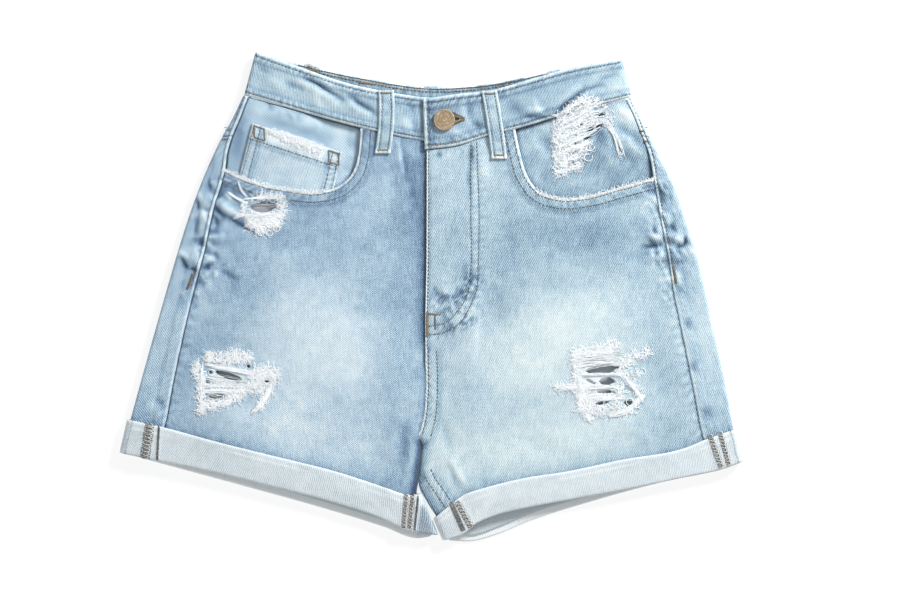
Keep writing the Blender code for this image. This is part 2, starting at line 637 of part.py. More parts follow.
def front_loop(name, top, bottom, pieces):
    """A belt loop over the waistband, down on to the front below the waist seam."""
    share = np.linspace(0.0, 1.0, 12)
    centre = np.array(bottom)[None] + (np.array(top) - np.array(bottom))[None] * share[:, None]
    on_band = BAND_FRONT_LEVEL + BAND / 2
    on_front = FRONT_LEVEL + DENIM / 2
    height = on_front + (on_band - on_front) * ramp(share, 0.10, 0.32) + LAP_GAP + LOOP / 2
    rows = [[(x + offset, y, z) for offset in (-LOOP_WIDTH / 2, LOOP_WIDTH / 2)]
            for (x, y), z in zip(centre, height)]
    wall("belt_loop_front_" + name, np.array(rows), LOOP, pieces)


def back_loop(name, x, y, angle, pieces):
    half, tall = LOOP_WIDTH / 2, BACK_LOOP_LENGTH / 2
    outline = [turned(dx, dy, (x, y), angle)
               for dx, dy in ((-half, -tall), (half, -tall), (half, tall), (-half, tall))]
    prism("belt_loop_back_" + name, outline, 0.0, PATCH, pieces)


def button(pieces):
    """The tack button: a dished cap with a raised rim on a shank through the keyhole."""
    foot = BAND_FRONT_LEVEL - BAND_UNDERLAP_DROP + BAND / 2 + LAP_GAP
    seat = BAND_FRONT_LEVEL + BAND_OVERLAP_LIFT + BAND / 2 + LAP_GAP
    top = seat + BUTTON_HEIGHT
    profile = ((0.0, top - 0.5), (1.6, top - 0.5), (2.2, top - 1.1), (6.6, top - 0.9), (7.6, top - 0.1),
               (8.4, top - 0.2), (BUTTON_RADIUS, top - 1.2), (BUTTON_RADIUS - 0.3, seat + 0.3),
               (BUTTON_RADIUS - 1.4, seat), (SHANK_RADIUS, seat), (SHANK_RADIUS, foot), (0.0, foot))
    mesh = bpy.data.meshes.new("button")
    mesh.from_pydata([(r * MM, 0.0, z * MM) for r, z in profile],
                     [(i, i + 1) for i in range(len(profile) - 1)], [])
    made = place("button", mesh, pieces)
    made.location = Vector(((BUTTON_X + DATUM[0]) * MM, (BUTTON_Y + DATUM[1]) * MM, 0.0))
    spin = made.modifiers.new("spin", "SCREW")
    spin.steps = spin.render_steps = 32
    spin.use_merge_vertices = True
    spin.merge_threshold = 0.00001


def fly_zip(pieces):
    """The closed zip behind the fly, as its flat tapes."""
    half = ZIP_WIDTH / 2
    low = BACK_LEVEL + DENIM / 2 + LAP_GAP
    outline = [(ZIP_CENTRE_X - half, ZIP_BOTTOM_Y), (ZIP_CENTRE_X + half, ZIP_BOTTOM_Y),
               (ZIP_CENTRE_X + half, ZIP_TOP_Y), (ZIP_CENTRE_X - half, ZIP_TOP_Y)]
    prism("fly_zip", outline, low, low + POCKETING, pieces)


def new_collection(name):
    made = bpy.data.collections.new(name)
    bpy.context.scene.collection.children.link(made)
    return made


def main():
    for existing in list(bpy.data.objects):
        bpy.data.objects.remove(existing, do_unlink=True)
    pieces, cutters = new_collection(COLLECTION), new_collection(CUTTERS)

    crotch = CENTRE_FRONT_SEAM[:1]
    apart = np.array((SEAM_GAP / 2, 0.0))
    leg_right = chain((LEG_INNER_RIGHT + crotch, LEG_ROWS)) - 2 * apart
    leg_left = chain((LEG_INNER_LEFT + crotch, LEG_ROWS)) + 2 * apart
    centre_front = chain((CENTRE_FRONT_SEAM, SEAM_ROWS))[1:]
    inner_right = np.vstack((leg_right, centre_front - apart, chain((FLY_EXTENSION, FLY_ROWS))))
    inner_left = np.vstack((leg_left, centre_front + apart, chain((FLY_EDGE, FLY_ROWS + 1))[1:] + apart))
    underlap = dense(WAIST_FRONT_RIGHT + (WAIST_UNDERLAP,))
    waist_right = tuple(p for p in underlap if p[0] < FLY_EXTENSION[-1][0])
    front("front_right", SIDE_RIGHT, HEM_FRONT_RIGHT, waist_right, inner_right,
          SCOOP_RIGHT, right_front_level, pieces, cutters)
    front("front_left", SIDE_LEFT, HEM_FRONT_LEFT, dense(WAIST_FRONT_LEFT), inner_left,
          SCOOP_LEFT, left_front_level, pieces, cutters)

    centre_back = chain((CENTRE_BACK, BACK_ROWS))[1:]
    centre_back[-1, 1] -= SEAM_GAP
    back("back_right", SIDE_RIGHT, HEM_BACK_RIGHT, YOKE_RIGHT,
         np.vstack((leg_right, centre_back - apart)), pieces)
    back("back_left", SIDE_LEFT, HEM_BACK_LEFT, YOKE_LEFT,
         np.vstack((leg_left, centre_back + apart)), pieces)
    middle = STEPS * WAIST_BACK_MIDDLE
    yoke("yoke_right", SIDE_RIGHT, YOKE_RIGHT, dense(WAIST_BACK)[:middle + 1], pieces)
    yoke("yoke_left", SIDE_LEFT, YOKE_LEFT, dense(WAIST_BACK)[:middle - 1:-1], pieces)

    waistband(pieces, cutters)
    cuff("cuff_right", CUFF_FRONT_RIGHT, CUFF_BACK_RIGHT, pieces)
    cuff("cuff_left", CUFF_FRONT_LEFT, CUFF_BACK_LEFT, pieces)

    front_pocket("right", SIDE_RIGHT, WAIST_FRONT_RIGHT, FACING_HEM_RIGHT, FACING_INNER_RIGHT,
                 BAG_FLOOR_RIGHT, FACING_DIP_X_RIGHT, pieces)
    front_pocket("left", SIDE_LEFT, WAIST_FRONT_LEFT, FACING_HEM_LEFT, FACING_INNER_LEFT,
                 BAG_FLOOR_LEFT, FACING_DIP_X_LEFT, pieces)
    coin_pocket(pieces)
    for name, (x, y, angle) in BACK_POCKET_CENTRES.items():
        back_pocket(name, x, y, angle, pieces)
    for name, (top, bottom) in FRONT_LOOPS.items():
        front_loop(name, top, bottom, pieces)
    for name, (x, y, angle) in BACK_LOOPS.items():
        back_loop(name, x, y, angle, pieces)
    button(pieces)
    fly_zip(pieces)


main()
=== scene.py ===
"""The looks of a pair of denim shorts laid flat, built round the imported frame.

Tables and curves are in millimetres in the shorts' own planform, as in the CAD source:
+X is the wearer's left, +Y runs to the waist, +Z is up from the surface they lie on.
Meshes are made in metres, in the frame's own place.
"""

import math

import bpy
import numpy as np
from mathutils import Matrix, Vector
from mathutils.kdtree import KDTree


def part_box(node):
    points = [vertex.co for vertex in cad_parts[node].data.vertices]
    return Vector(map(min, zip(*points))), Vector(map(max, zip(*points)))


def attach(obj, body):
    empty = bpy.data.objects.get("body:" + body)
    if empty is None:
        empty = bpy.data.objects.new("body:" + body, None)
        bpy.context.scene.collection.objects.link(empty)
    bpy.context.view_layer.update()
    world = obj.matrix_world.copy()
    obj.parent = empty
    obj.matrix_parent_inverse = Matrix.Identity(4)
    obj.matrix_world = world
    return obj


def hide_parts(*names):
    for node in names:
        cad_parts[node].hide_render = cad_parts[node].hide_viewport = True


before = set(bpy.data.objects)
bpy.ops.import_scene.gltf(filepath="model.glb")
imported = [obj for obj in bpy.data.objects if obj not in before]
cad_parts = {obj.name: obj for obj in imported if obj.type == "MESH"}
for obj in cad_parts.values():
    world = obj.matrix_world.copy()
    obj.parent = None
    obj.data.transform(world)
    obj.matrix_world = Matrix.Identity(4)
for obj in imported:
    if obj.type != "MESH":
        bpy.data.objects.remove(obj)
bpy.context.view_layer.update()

MM = 0.001
# The wearer's right is towards -X.
SIGN = {"right": -1, "left": 1}
DATUM = (0, 0.4)

# How strongly the creases of the tables below stand out, in height and in tone; the tone is partly real
# fading and partly painted shade in the valleys and painted light on the ridges.
RELIEF = 1.45
SHADE = 1.85

# Thickness of each cloth as it looks, and the gaps between layers.
DENIM = 1.2
BAND = 2
CUFF = 1.8
POCKETING = 1
LOOP = 1.4
PATCH = 1.8
LAP_GAP = 0.3
COIN_GAP = 0.6
SEAM_GAP = 0.5


def level_of(node):
    """Height of the middle of a flat node of the frame."""
    low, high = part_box(node)
    return (low[2] + high[2]) / 2 / MM


BAG_LEVEL = level_of("pocket_bag_right")
BACK_LEVEL = BAG_LEVEL - POCKETING / 2 - LAP_GAP - DENIM / 2
COIN_LEVEL = BAG_LEVEL + POCKETING + COIN_GAP
FRONT_LEVEL = COIN_LEVEL + POCKETING / 2 + LAP_GAP + DENIM / 2
CUFF_BACK_LEVEL = CUFF / 2
CUFF_FRONT_LEVEL = FRONT_LEVEL + DENIM / 2 + LAP_GAP + CUFF / 2
BAND_BACK_LEVEL = PATCH + LAP_GAP + BAND / 2
BAND_FRONT_LEVEL = FRONT_LEVEL - DENIM / 2 + BAND / 2
FOLD_RADIUS = (FRONT_LEVEL - BACK_LEVEL) / 2

FLY_LIFT = 0.9
FLY_BOTTOM_Y = -50
FLY_FADE = 20
BAND_UNDERLAP_DROP = 1
BAND_OVERLAP_LIFT = 1.3
CROTCH_Y = -115
CROTCH_TURN = 8

BUTTON_LOW, BUTTON_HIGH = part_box("button")
BUTTON_X = (BUTTON_LOW[0] + BUTTON_HIGH[0]) / 2 / MM - DATUM[0]
BUTTON_Y = (BUTTON_LOW[1] + BUTTON_HIGH[1]) / 2 / MM - DATUM[1]

# Each side of the legs, hem to waist: outline_x, outline_y, seam_x, seam_y.
# The back panel turns over the outline and meets the front at the side seam.
YOKE_ROW = 9
SIDE_ROWS = {
    "right": (
        (-259, -126, -233, -133), (-253, -103, -224.5, -110), (-244, -70, -217, -72),
        (-232, -27, -207.5, -27), (-222, 8, -199, 8), (-212, 42, -190, 42), (-203, 70, -184, 71),
        (-190, 104, -174, 105), (-181.5, 123, -171, 124), (-176, 134, -167.5, 135),
        (-168, 148, -161.5, 149), (-158, 169.5, -154, 168),
    ),
    "left": (
        (258.5, -133, 236.5, -141), (253.5, -110, 228, -118), (247, -74, 219.5, -76),
        (237, -28, 209.8, -28), (230, 5, 203, 5), (222, 38, 198, 38), (214.5, 60, 193, 62),
        (203, 94, 187.5, 95), (190.5, 119, 182.5, 121), (183.5, 134, 177, 135), (175.5, 150, 170.5, 151),
        (167.5, 167, 163.5, 165.5),
    ),
}

# Points taken from each span of a smooth line where two pieces share it.
STEPS = 4

# Rows of points up a panel: below the crotch, up the centre seam, beside the fly, up the back.
LEG_ROWS, SEAM_ROWS, FLY_ROWS, BACK_ROWS = 6, 5, 9, 11

# Inner edge of each leg and centre seam, hem to waist: x, y.
LEG_INNER = {
    "right": ((-4.5, -194), (-9, -183), (-12.4, -167), (-11.7, -150), (-9, -130)),
    "left": ((13, -198), (7, -189), (-4, -172), (-10.2, -160), (-11, -153), (-9.8, -143), (-8.2, -129)),
}
CENTRE_FRONT_SEAM = ((-10, -115), (-6.5, -101), (-5, -85), (-5.2, -45))
CENTRE_BACK = ((-10, -115), (-8, -90), (-4, -40), (-1, 40), (0, 104))
FLY_EXTENSION = ((8, -34), (8, 50), (8, 129.6))
FLY_EDGE = ((-5.2, -45), (-5.4, -33), (-4.5, 30), (-4.2, 123.2))

# Hems inside the cuffs, outer side to inner side: x, y.
HEM_FRONT = {
    "right": (
        (-233, -133), (-186, -141.5), (-135, -154), (-84, -167), (-42, -181), (-22, -189), (-4.5, -194),
    ),
    "left": (
        (236.5, -141), (162, -157), (112, -166), (80, -172), (52, -179), (39, -184.5), (28, -193),
        (13, -198),
    ),
}
HEM_BACK = {
    "right": (
        (-259, -126), (-230, -134), (-160, -153), (-80, -176), (-40, -188.5), (-16, -196.5), (-4.5, -194),
    ),
    "left": (
        (258.5, -133), (235, -142), (200, -150), (136, -167), (80, -184), (56, -194), (34, -201),
        (13, -198),
    ),
}

# Waist seam of the front, side to centre, and of the back, side to side: x, y.
WAIST_FRONT = {
    "right": ((-157.5, 169.5), (-120, 158.5), (-80, 147.2), (-45, 138.6), (-6, 131)),
    "left": ((168, 168), (120, 155.8), (80, 143.4), (47, 135), (20, 126.5), (-5.5, 123.5)),
}
WAIST_UNDERLAP = (24, 129.5)
WAIST_BACK_MIDDLE = 3
WAIST_BACK = ((-157.5, 169.5), (-115, 158), (-62, 146), (0, 137), (52, 141), (105, 152), (168, 168))

# Upper edge of the waistband, in the same order as the seams above: x, y.
TOP_FRONT = {
    "right": ((-148, 205.5), (-110, 192), (-70, 178.5), (-40, 172), (-6, 167.3)),
    "left": ((160, 199.5), (115, 191), (80, 181), (50, 173), (20, 169.5), (-7, 165.5)),
}
TOP_UNDERLAP = (24, 167)
TOP_BACK = ((-148, 205.5), (-110, 195), (-60, 184), (0, 175.5), (50, 178.5), (100, 188.5), (160, 199.5))

# Yoke seam across the back, side to centre: x, y.
YOKE_SEAM = {"right": ((-176, 134), (-90, 118), (0, 104)), "left": ((183.5, 134), (95, 118), (0, 104))}

# Turned-up cuffs, outer side to inner side: top_x, top_y, fold_x, fold_y.
CUFF_FRONT = {
    "right": (
        (-256, -103, -262.5, -131), (-228, -109, -236, -136.5), (-180, -122, -186, -146.5),
        (-130, -134.5, -135, -159), (-80, -147, -84, -172), (-40, -160, -42, -186),
        (-22, -166, -20, -195.5), (-8.4, -165.9, 5.6, -200.5),
    ),
    "left": (
        (256, -111, 262.5, -138), (230, -120, 240, -146), (213, -127, 220, -150), (160, -137, 162, -162),
        (110, -147.5, 112, -171), (80, -152, 80, -177), (45, -160.5, 52, -184), (28, -166, 38, -190),
        (12, -178, 26, -199.5), (1.5, -187, 9, -205),
    ),
}
CUFF_BACK = {
    "right": (
        (-256, -103, -262.5, -131), (-225, -114, -230, -140), (-155, -132, -160, -159),
        (-76, -155, -80, -181.5), (-37, -167, -40, -194), (-18, -170, -12, -203.5),
        (-8.4, -165.9, 5.6, -200.5),
    ),
    "left": (
        (256, -111, 262.5, -138), (232, -123, 238, -147), (196, -130, 200, -155), (133, -147, 136.5, -172),
        (77, -164, 80, -190), (50, -172, 56, -200), (26, -180, 34, -206), (1.5, -187, 9, -205),
    ),
}

# Front pockets: the scooped mouth, side seam to waist: x, y.
SCOOP = {
    "right": (
        (-174, 107), (-150, 96.5), (-120, 90), (-95, 88), (-78, 92.5), (-66, 104), (-61.5, 118),
        (-59.5, 141),
    ),
    "left": (
        (187.5, 99.5), (160, 92), (130, 84), (108, 82.5), (90, 88.5), (80, 102), (74.5, 120), (70, 141),
    ),
}
SCOOP_MARGIN = 25

# Denim facing behind each mouth and the cotton bag below it, side to centre: x, y.
FACING_HEM = {
    "right": ((-178.5, 86), (-140, 82), (-100, 76), (-48, 74)),
    "left": ((191, 77), (150, 73), (110, 70), (58, 72)),
}
FACING_INNER = {"right": ((-48, 74), (-48, 139)), "left": ((58, 72), (58, 137.2))}
BAG_FLOOR = {
    "right": ((-168, 42), (-150, 20), (-110, 12), (-70, 16), (-52, 34)),
    "left": ((182, 36), (160, 14), (125, 6), (85, 10), (62, 30)),
}

# The facing dips below the mouth and rises to the panels' level beside the waist seam.
FACING_DIP_Y = (98, 134)
FACING_DIP_X = {"right": (-80, -112), "left": (90, 124)}

# Coin pocket, on the right facing: corners x, y from top outer round to bottom outer.
COIN_CORNERS = ((-150, 145.5), (-75, 121), (-84, 82.5), (-165, 88.5))

# Back pockets and belt loops.
BACK_POCKET_WIDTH = 128
BACK_POCKET_SIDE = 112
BACK_POCKET_POINT = 22
BACK_POCKET_TAPER = 7
BACK_POCKET_CENTRES = {"right": (-84, 100, -7), "left": (84, 100, 7)}
LOOP_WIDTH = 13
FRONT_LOOPS = {"right": ((-38, 173), (-41, 120)), "left": ((48.5, 172.5), (57, 115.5))}
BACK_LOOPS = {"right": (-107, 167, -13), "centre": (0, 149, 0), "left": (109, 163, 12)}
BACK_LOOP_LENGTH = 56

ZIP_WIDTH = 26
ZIP_BOTTOM_Y, ZIP_TOP_Y = -24.0, 126.0
ZIP_CENTRE_X = 12

# Main folds of the upper layer: x0, y0, x1, y1, height, width.
FOLDS = (
    (-198, 82, -168, 74, 1.4, 6), (-186, 66, -150, 52, -0.8, 5), (-200, 56, -172, 46, 1.3, 7),
    (-213, 34, -184, 22, 1.5, 6), (-205, 20, -172, 10, -0.7, 6), (-22, 118, -24, 40, 1.2, 9),
    (176, 53, 210, 53, 1.4, 5), (180, 43, 212, 44, -0.9, 4), (178, 33, 214, 35, 1.3, 6),
    (64, 70, 66, 4, -0.7, 14), (6, 6, 24, -8, 0.8, 5), (10, -128, 20, -146, 0.9, 8),
    (-30, -118, -36, -140, 0.9, 8),
)


# ---------------------------------------------------------------- curves and fields

# Distance given to points that are out of reach of a line, in millimetres.
FAR = 1e6


def run_of(points):
    """Length along a line of points, at each of them."""
    return np.concatenate(([0], np.cumsum(np.linalg.norm(np.diff(points, axis=0), axis=1))))


def even(count, end=1):
    """Equal steps from 0 to the end."""
    return np.linspace(0, end, count)


def smooth(points, where):
    """Points at the given shares (0 to 1) of a cubic that runs through the listed ones."""
    p = np.array(points, float)
    chord = run_of(p)
    slope = np.gradient(p, chord, axis=0) if len(p) > 2 else np.repeat(np.diff(p, axis=0) / chord[-1], 2, 0)
    at = np.clip(np.asarray(where, float), 0, 1) * chord[-1]
    i = np.clip(np.searchsorted(chord, at, side="right") - 1, 0, len(p) - 2)
    span = (chord[i + 1] - chord[i])[:, None]
    u = ((at - chord[i])[:, None]) / span
    return ((2 * u**3 - 3 * u**2 + 1) * p[i] + (u**3 - 2 * u**2 + u) * span * slope[i]
            + (3 * u**2 - 2 * u**3) * p[i + 1] + (u**3 - u**2) * span * slope[i + 1])


def dense(points):
    """The smooth line through the points with STEPS points for each span between two of them."""
    p = np.array(points, float)
    chord = run_of(p)
    where = np.interp(np.arange((len(p) - 1) * STEPS + 1) / STEPS, np.arange(len(p)), chord / chord[-1])
    return tuple(tuple(q) for q in smooth(points, where))


def ramp(value, start, end):
    """0 at start, 1 at end, smooth between, for numbers or arrays."""
    u = np.clip((np.asarray(value, float) - start) / (end - start), 0, 1)
    return u * u * (3 - 2 * u)


def bump(value, centre, width):
    return np.exp(-((np.asarray(value, float) - centre) / width)**2)


def noise(x, y, size, seed):
    """Smooth uneven values from -1 to 1 with lumps of the given size."""
    table = np.random.default_rng(seed).uniform(-1, 1, (64, 64))
    u, v = np.asarray(x, float) / size + 640, np.asarray(y, float) / size + 640
    i, j = np.floor(u).astype(int), np.floor(v).astype(int)
    fu, fv = u - i, v - j
    fu, fv = fu * fu * (3 - 2 * fu), fv * fv * (3 - 2 * fv)
    at = lambda a, b: table[a % 64, b % 64]
    return ((at(i, j) * (1 - fu) + at(i + 1, j) * fu) * (1 - fv)
            + (at(i, j + 1) * (1 - fu) + at(i + 1, j + 1) * fu) * fv)


def away(x, y, line, reach=14):
    """Distance of each point from a line, plus to its left, and the length along it."""
    p = np.array(line, float)
    shape = np.shape(x)
    q = np.stack((np.ravel(x), np.ravel(y)), axis=1).astype(float)
    best = np.full(len(q), FAR)
    along = np.zeros(len(q))
    low, high = p.min(axis=0) - reach, p.max(axis=0) + reach
    near = np.nonzero(((q > low) & (q < high)).all(axis=1))[0]
    part, close, at = q[near], np.full(len(near), FAR), np.zeros(len(near))
    run = 0
    for a, b in zip(p[:-1], p[1:]):
        step = b - a
        length = float(np.hypot(*step))
        rel = part - a
        share = np.clip(rel @ step / length**2, 0, 1)
        gap = rel - share[:, None] * step
        far = np.hypot(gap[:, 0], gap[:, 1])
        side = np.where(step[0] * rel[:, 1] - step[1] * rel[:, 0] >= 0, 1, -1)
        closer = far < np.abs(close)
        close = np.where(closer, far * side, close)
        at = np.where(closer, run + share * length, at)
        run += length
    best[near], along[near] = close, at
    return best.reshape(shape), along.reshape(shape)


def folds(x, y):
    """Height that the main folds add to the upper layer at x, y."""
    return creases(x, y, tuple(row + (0,) for row in FOLDS), 0)[0]


def creases(x, y, table, wobble=0.8):
    """Height and shade of a table of creases: x0, y0, x1, y1, height, width, shade. The shade column is
    partly real fading, partly painted shade in the valleys and painted light on the ridges.
    """
    x, y = np.asarray(x, float), np.asarray(y, float)
    height, shade = np.zeros_like(x), np.zeros_like(x)
    drift = wobble * noise(x, y, 7, 5) if wobble else 0
    for x0, y0, x1, y1, rise, width, tone in table:
        dx, dy = x1 - x0, y1 - y0
        length = math.hypot(dx, dy)
        share = ((x - x0) * dx + (y - y0) * dy) / length**2
        across = ((x - x0) * dy - (y - y0) * dx) / length + drift
        form = np.clip(1 - (2 * share - 1)**2, 0, 1) * np.exp(-(across / width)**2)
        height += rise * form * (RELIEF if wobble else 1)
        shade += tone * form * SHADE
    return height, shade


def spun(x, y, degrees):
    """x, y turned anticlockwise about zero."""
    c, s = math.cos(math.radians(degrees)), math.sin(math.radians(degrees))
    return c * x - s * y, s * x + c * y


def spots(x, y, table):
    """Sum of soft round or oval spots: x, y, half width, half height, turn in degrees, amount."""
    total = np.zeros_like(np.asarray(x, float))
    for cx, cy, half_x, half_y, turn, amount in table:
        u, v = spun(x - cx, y - cy, -turn)
        u, v = u / half_x, v / half_y
        total += amount * np.exp(-(u * u + v * v))
    return total


def offset(line, distance):
    """A line moved to its left by a distance."""
    p = np.array(line, float)
    step = np.gradient(p, axis=0)
    step /= np.linalg.norm(step, axis=1, keepdims=True)
    return p + distance * np.column_stack((-step[:, 1], step[:, 0]))


def fine(points, spacing=1.5):
    """The smooth line through the points, cut into short equal steps."""
    length = np.linalg.norm(np.diff(np.array(points, float), axis=0), axis=1).sum()
    return smooth(points, even(max(3, int(length / spacing))))


def resampled(points, count):
    p = np.array(points, float)
    run = run_of(p)
    at = even(count, run[-1])
    return np.column_stack([np.interp(at, run, p[:, k]) for k in range(p.shape[1])])


# ---------------------------------------------------------------- meshes

# Columns of a piece's values: x, y, z, place on the cloth, bleaching, wear and thickness.
_, _, Z, U, V, WASH, WORN, THICK = range(8)


def grid_faces(rows, columns, closed=False):
    """Quads between neighbouring rows and columns of a grid of points."""
    last = columns if closed else columns - 1
    return [(r * columns + c, r * columns + (c + 1) % columns,
             (r + 1) * columns + (c + 1) % columns, (r + 1) * columns + c)
            for r in range(rows - 1) for c in range(last)]


def clipped(data, faces, keep):
    """Cut a mesh along the zero line of keep, one value a point: the part above zero stays."""
    keep = np.where(np.abs(keep) < 0.03, 0.03, keep)
    inside = (keep > 0).tolist()
    rows, cuts, kept = list(data), {}, []
    for face in faces:
        held = [inside[i] for i in face]
        if all(held):
            kept.append(face)
        elif any(held):
            ring = []
            for a, b in zip(face, face[1:] + face[:1]):
                if inside[a]:
                    ring.append(a)
                if inside[a] != inside[b]:
                    key = (min(a, b), max(a, b))
                    if key not in cuts:
                        cuts[key] = len(rows)
                        rows.append(data[a] + (data[b] - data[a]) * (keep[a] / (keep[a] - keep[b])))
                    ring.append(cuts[key])
            kept.append(tuple(ring))
    used = sorted({i for face in kept for i in face})
    place = {old: new for new, old in enumerate(used)}
    return np.array([rows[i] for i in used]), [tuple(place[i] for i in face) for face in kept]


def by_size(faces):
    groups = {}
    for face in faces:
        groups.setdefault(len(face), []).append(face)
    return [np.array(group) for group in groups.values()]


def new_object(name, points, groups, marks, material):
    """A smooth-shaded mesh object in metres from points in millimetres."""
    mesh = bpy.data.meshes.new(name)
    placed = (points + np.array((*DATUM, 0))) * MM
    mesh.from_pydata(placed.tolist(), [], [face for group in groups for face in group.tolist()])
    mesh.polygons.foreach_set("use_smooth", np.ones(len(mesh.polygons), bool))
    for key, values in marks.items():
        kind, field = ("FLOAT_VECTOR", "vector") if values.ndim == 2 else ("FLOAT", "value")
        mesh.attributes.new(key, kind, "POINT").data.foreach_set(field, values.ravel().astype(np.float32))
    mesh.materials.append(material)
    made = bpy.data.objects.new(name, mesh)
    bpy.context.scene.collection.objects.link(made)
    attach(made, "root")
    return made


def shell(name, data, faces, material, face_up=True):
    """A closed thin shell of cloth round a middle surface, with its marks for the material.

    face_up says that the right side of the cloth looks up where the piece is highest.
    """
    groups = by_size(faces)
    points = data[:, :3]
    normal = np.zeros_like(points)
    for group in groups:
        corner = points[group]
        total = sum(np.cross(corner[:, i] - corner[:, 0], corner[:, i + 1] - corner[:, 0])
                    for i in range(1, group.shape[1] - 1))
        for i in range(group.shape[1]):
            np.add.at(normal, group[:, i], total)
    high = points[:, 2] >= (points[:, 2].min() + points[:, 2].max()) / 2
    if (normal[high, 2].sum() > 0) != face_up:
        normal = -normal
        groups = [group[:, ::-1] for group in groups]
    normal /= np.maximum(np.linalg.norm(normal, axis=1, keepdims=True), 1e-9)
    half = data[:, THICK:THICK + 1] / 2
    count = len(points)
    edges = np.vstack([np.column_stack((g[:, i], g[:, (i + 1) % g.shape[1]]))
                       for g in groups for i in range(g.shape[1])])
    rim = edges[~np.isin(edges[:, 0] * count + edges[:, 1], edges[:, 1] * count + edges[:, 0])]
    a, b = rim[:, 0], rim[:, 1]
    sides = groups + [group[:, ::-1] + count for group in groups]
    sides.append(np.column_stack((b, a, a + count, b + count)))
    cloth = np.column_stack((data[:, U], data[:, V], np.zeros(count))) * MM
    marks = {
        "cloth": np.vstack((cloth, cloth)),
        "wash": np.tile(data[:, WASH], 2),
        "worn": np.tile(data[:, WORN], 2),
        "under": np.repeat((0, 1), count),
    }
    faces_of_cloth = np.vstack((points + normal * half, points - normal * half))
    return new_object(name, faces_of_cloth, sides, marks, material)


def tubes(paths, radii, sides):
    """Points and faces of closed tubes round many paths of equally many points."""
    paths = np.asarray(paths, float)
    many, steps = paths.shape[:2]
    radii = np.broadcast_to(np.asarray(radii, float), (many, steps))
    along = np.gradient(paths, axis=1)
    along /= np.maximum(np.linalg.norm(along, axis=2, keepdims=True), 1e-9)
    side = np.cross(along, (0, 0, 1))
    steep = np.linalg.norm(side, axis=2, keepdims=True) < 0.05
    side = np.where(steep, np.array((1, 0, 0)), side)
    side /= np.linalg.norm(side, axis=2, keepdims=True)
    up = np.cross(side, along)
    turn = np.arange(sides) / sides * 2 * math.pi
    ring = side[:, :, None] * np.cos(turn)[:, None] + up[:, :, None] * np.sin(turn)[:, None]
    points = paths[:, :, None] + ring * radii[:, :, None, None]
    index = np.arange(many * steps * sides).reshape(many, steps, sides)
    low, high = index[:, :-1], index[:, 1:]
    quads = np.stack((low, high, np.roll(high, -1, axis=2), np.roll(low, -1, axis=2)), axis=-1)
    return points.reshape(-1, 3), [quads.reshape(-1, 4), index[:, 0].copy(), index[:, -1, ::-1].copy()]


def strands_object(name, batches, material):
    """One mesh of many tubes. A batch is its paths, radii, sides and a tone for each path."""
    points, groups, tones, run = [], [], [], 0
    for paths, radii, sides, tone in batches:
        if len(paths) == 0:
            continue
        made, faces = tubes(paths, radii, sides)
        points.append(made)
        groups += [group + run for group in faces]
        tones.append(np.repeat(np.broadcast_to(tone, len(paths)), len(made) // len(paths)))
        run += len(made)
    return new_object(name, np.vstack(points), groups, {"tone": np.concatenate(tones)}, material)


# ---------------------------------------------------------------- soft forms and tones

# Broad soft forms of everything that lies on top: x, y, half width, half height, turn, rise.
SWELLS = (
    (-112, -22, 55, 62, 8, 1.5), (118, -22, 55, 62, -8, 1.5), (-70, 45, 60, 22, -12, 0.5),
    (105, 48, 60, 22, 10, 0.5), (-206, -75, 20, 34, -12, 0.9), (216, -80, 20, 34, 12, 0.9),
    (-30, -85, 14, 50, 6, 0.9), (30, -95, 16, 50, -8, 1), (-120, 148, 30, 9, -16, 0.7),
    (124, 128, 34, 14, 12, 0.7), (-95, 178, 42, 10, -16, 0.5), (105, 172, 40, 12, 14, 0.5),
    (8, 60, 16, 50, 0, 0.5), (-60, -165, 50, 9, -12, 0.6), (110, -165, 60, 9, 9, 0.6),
)

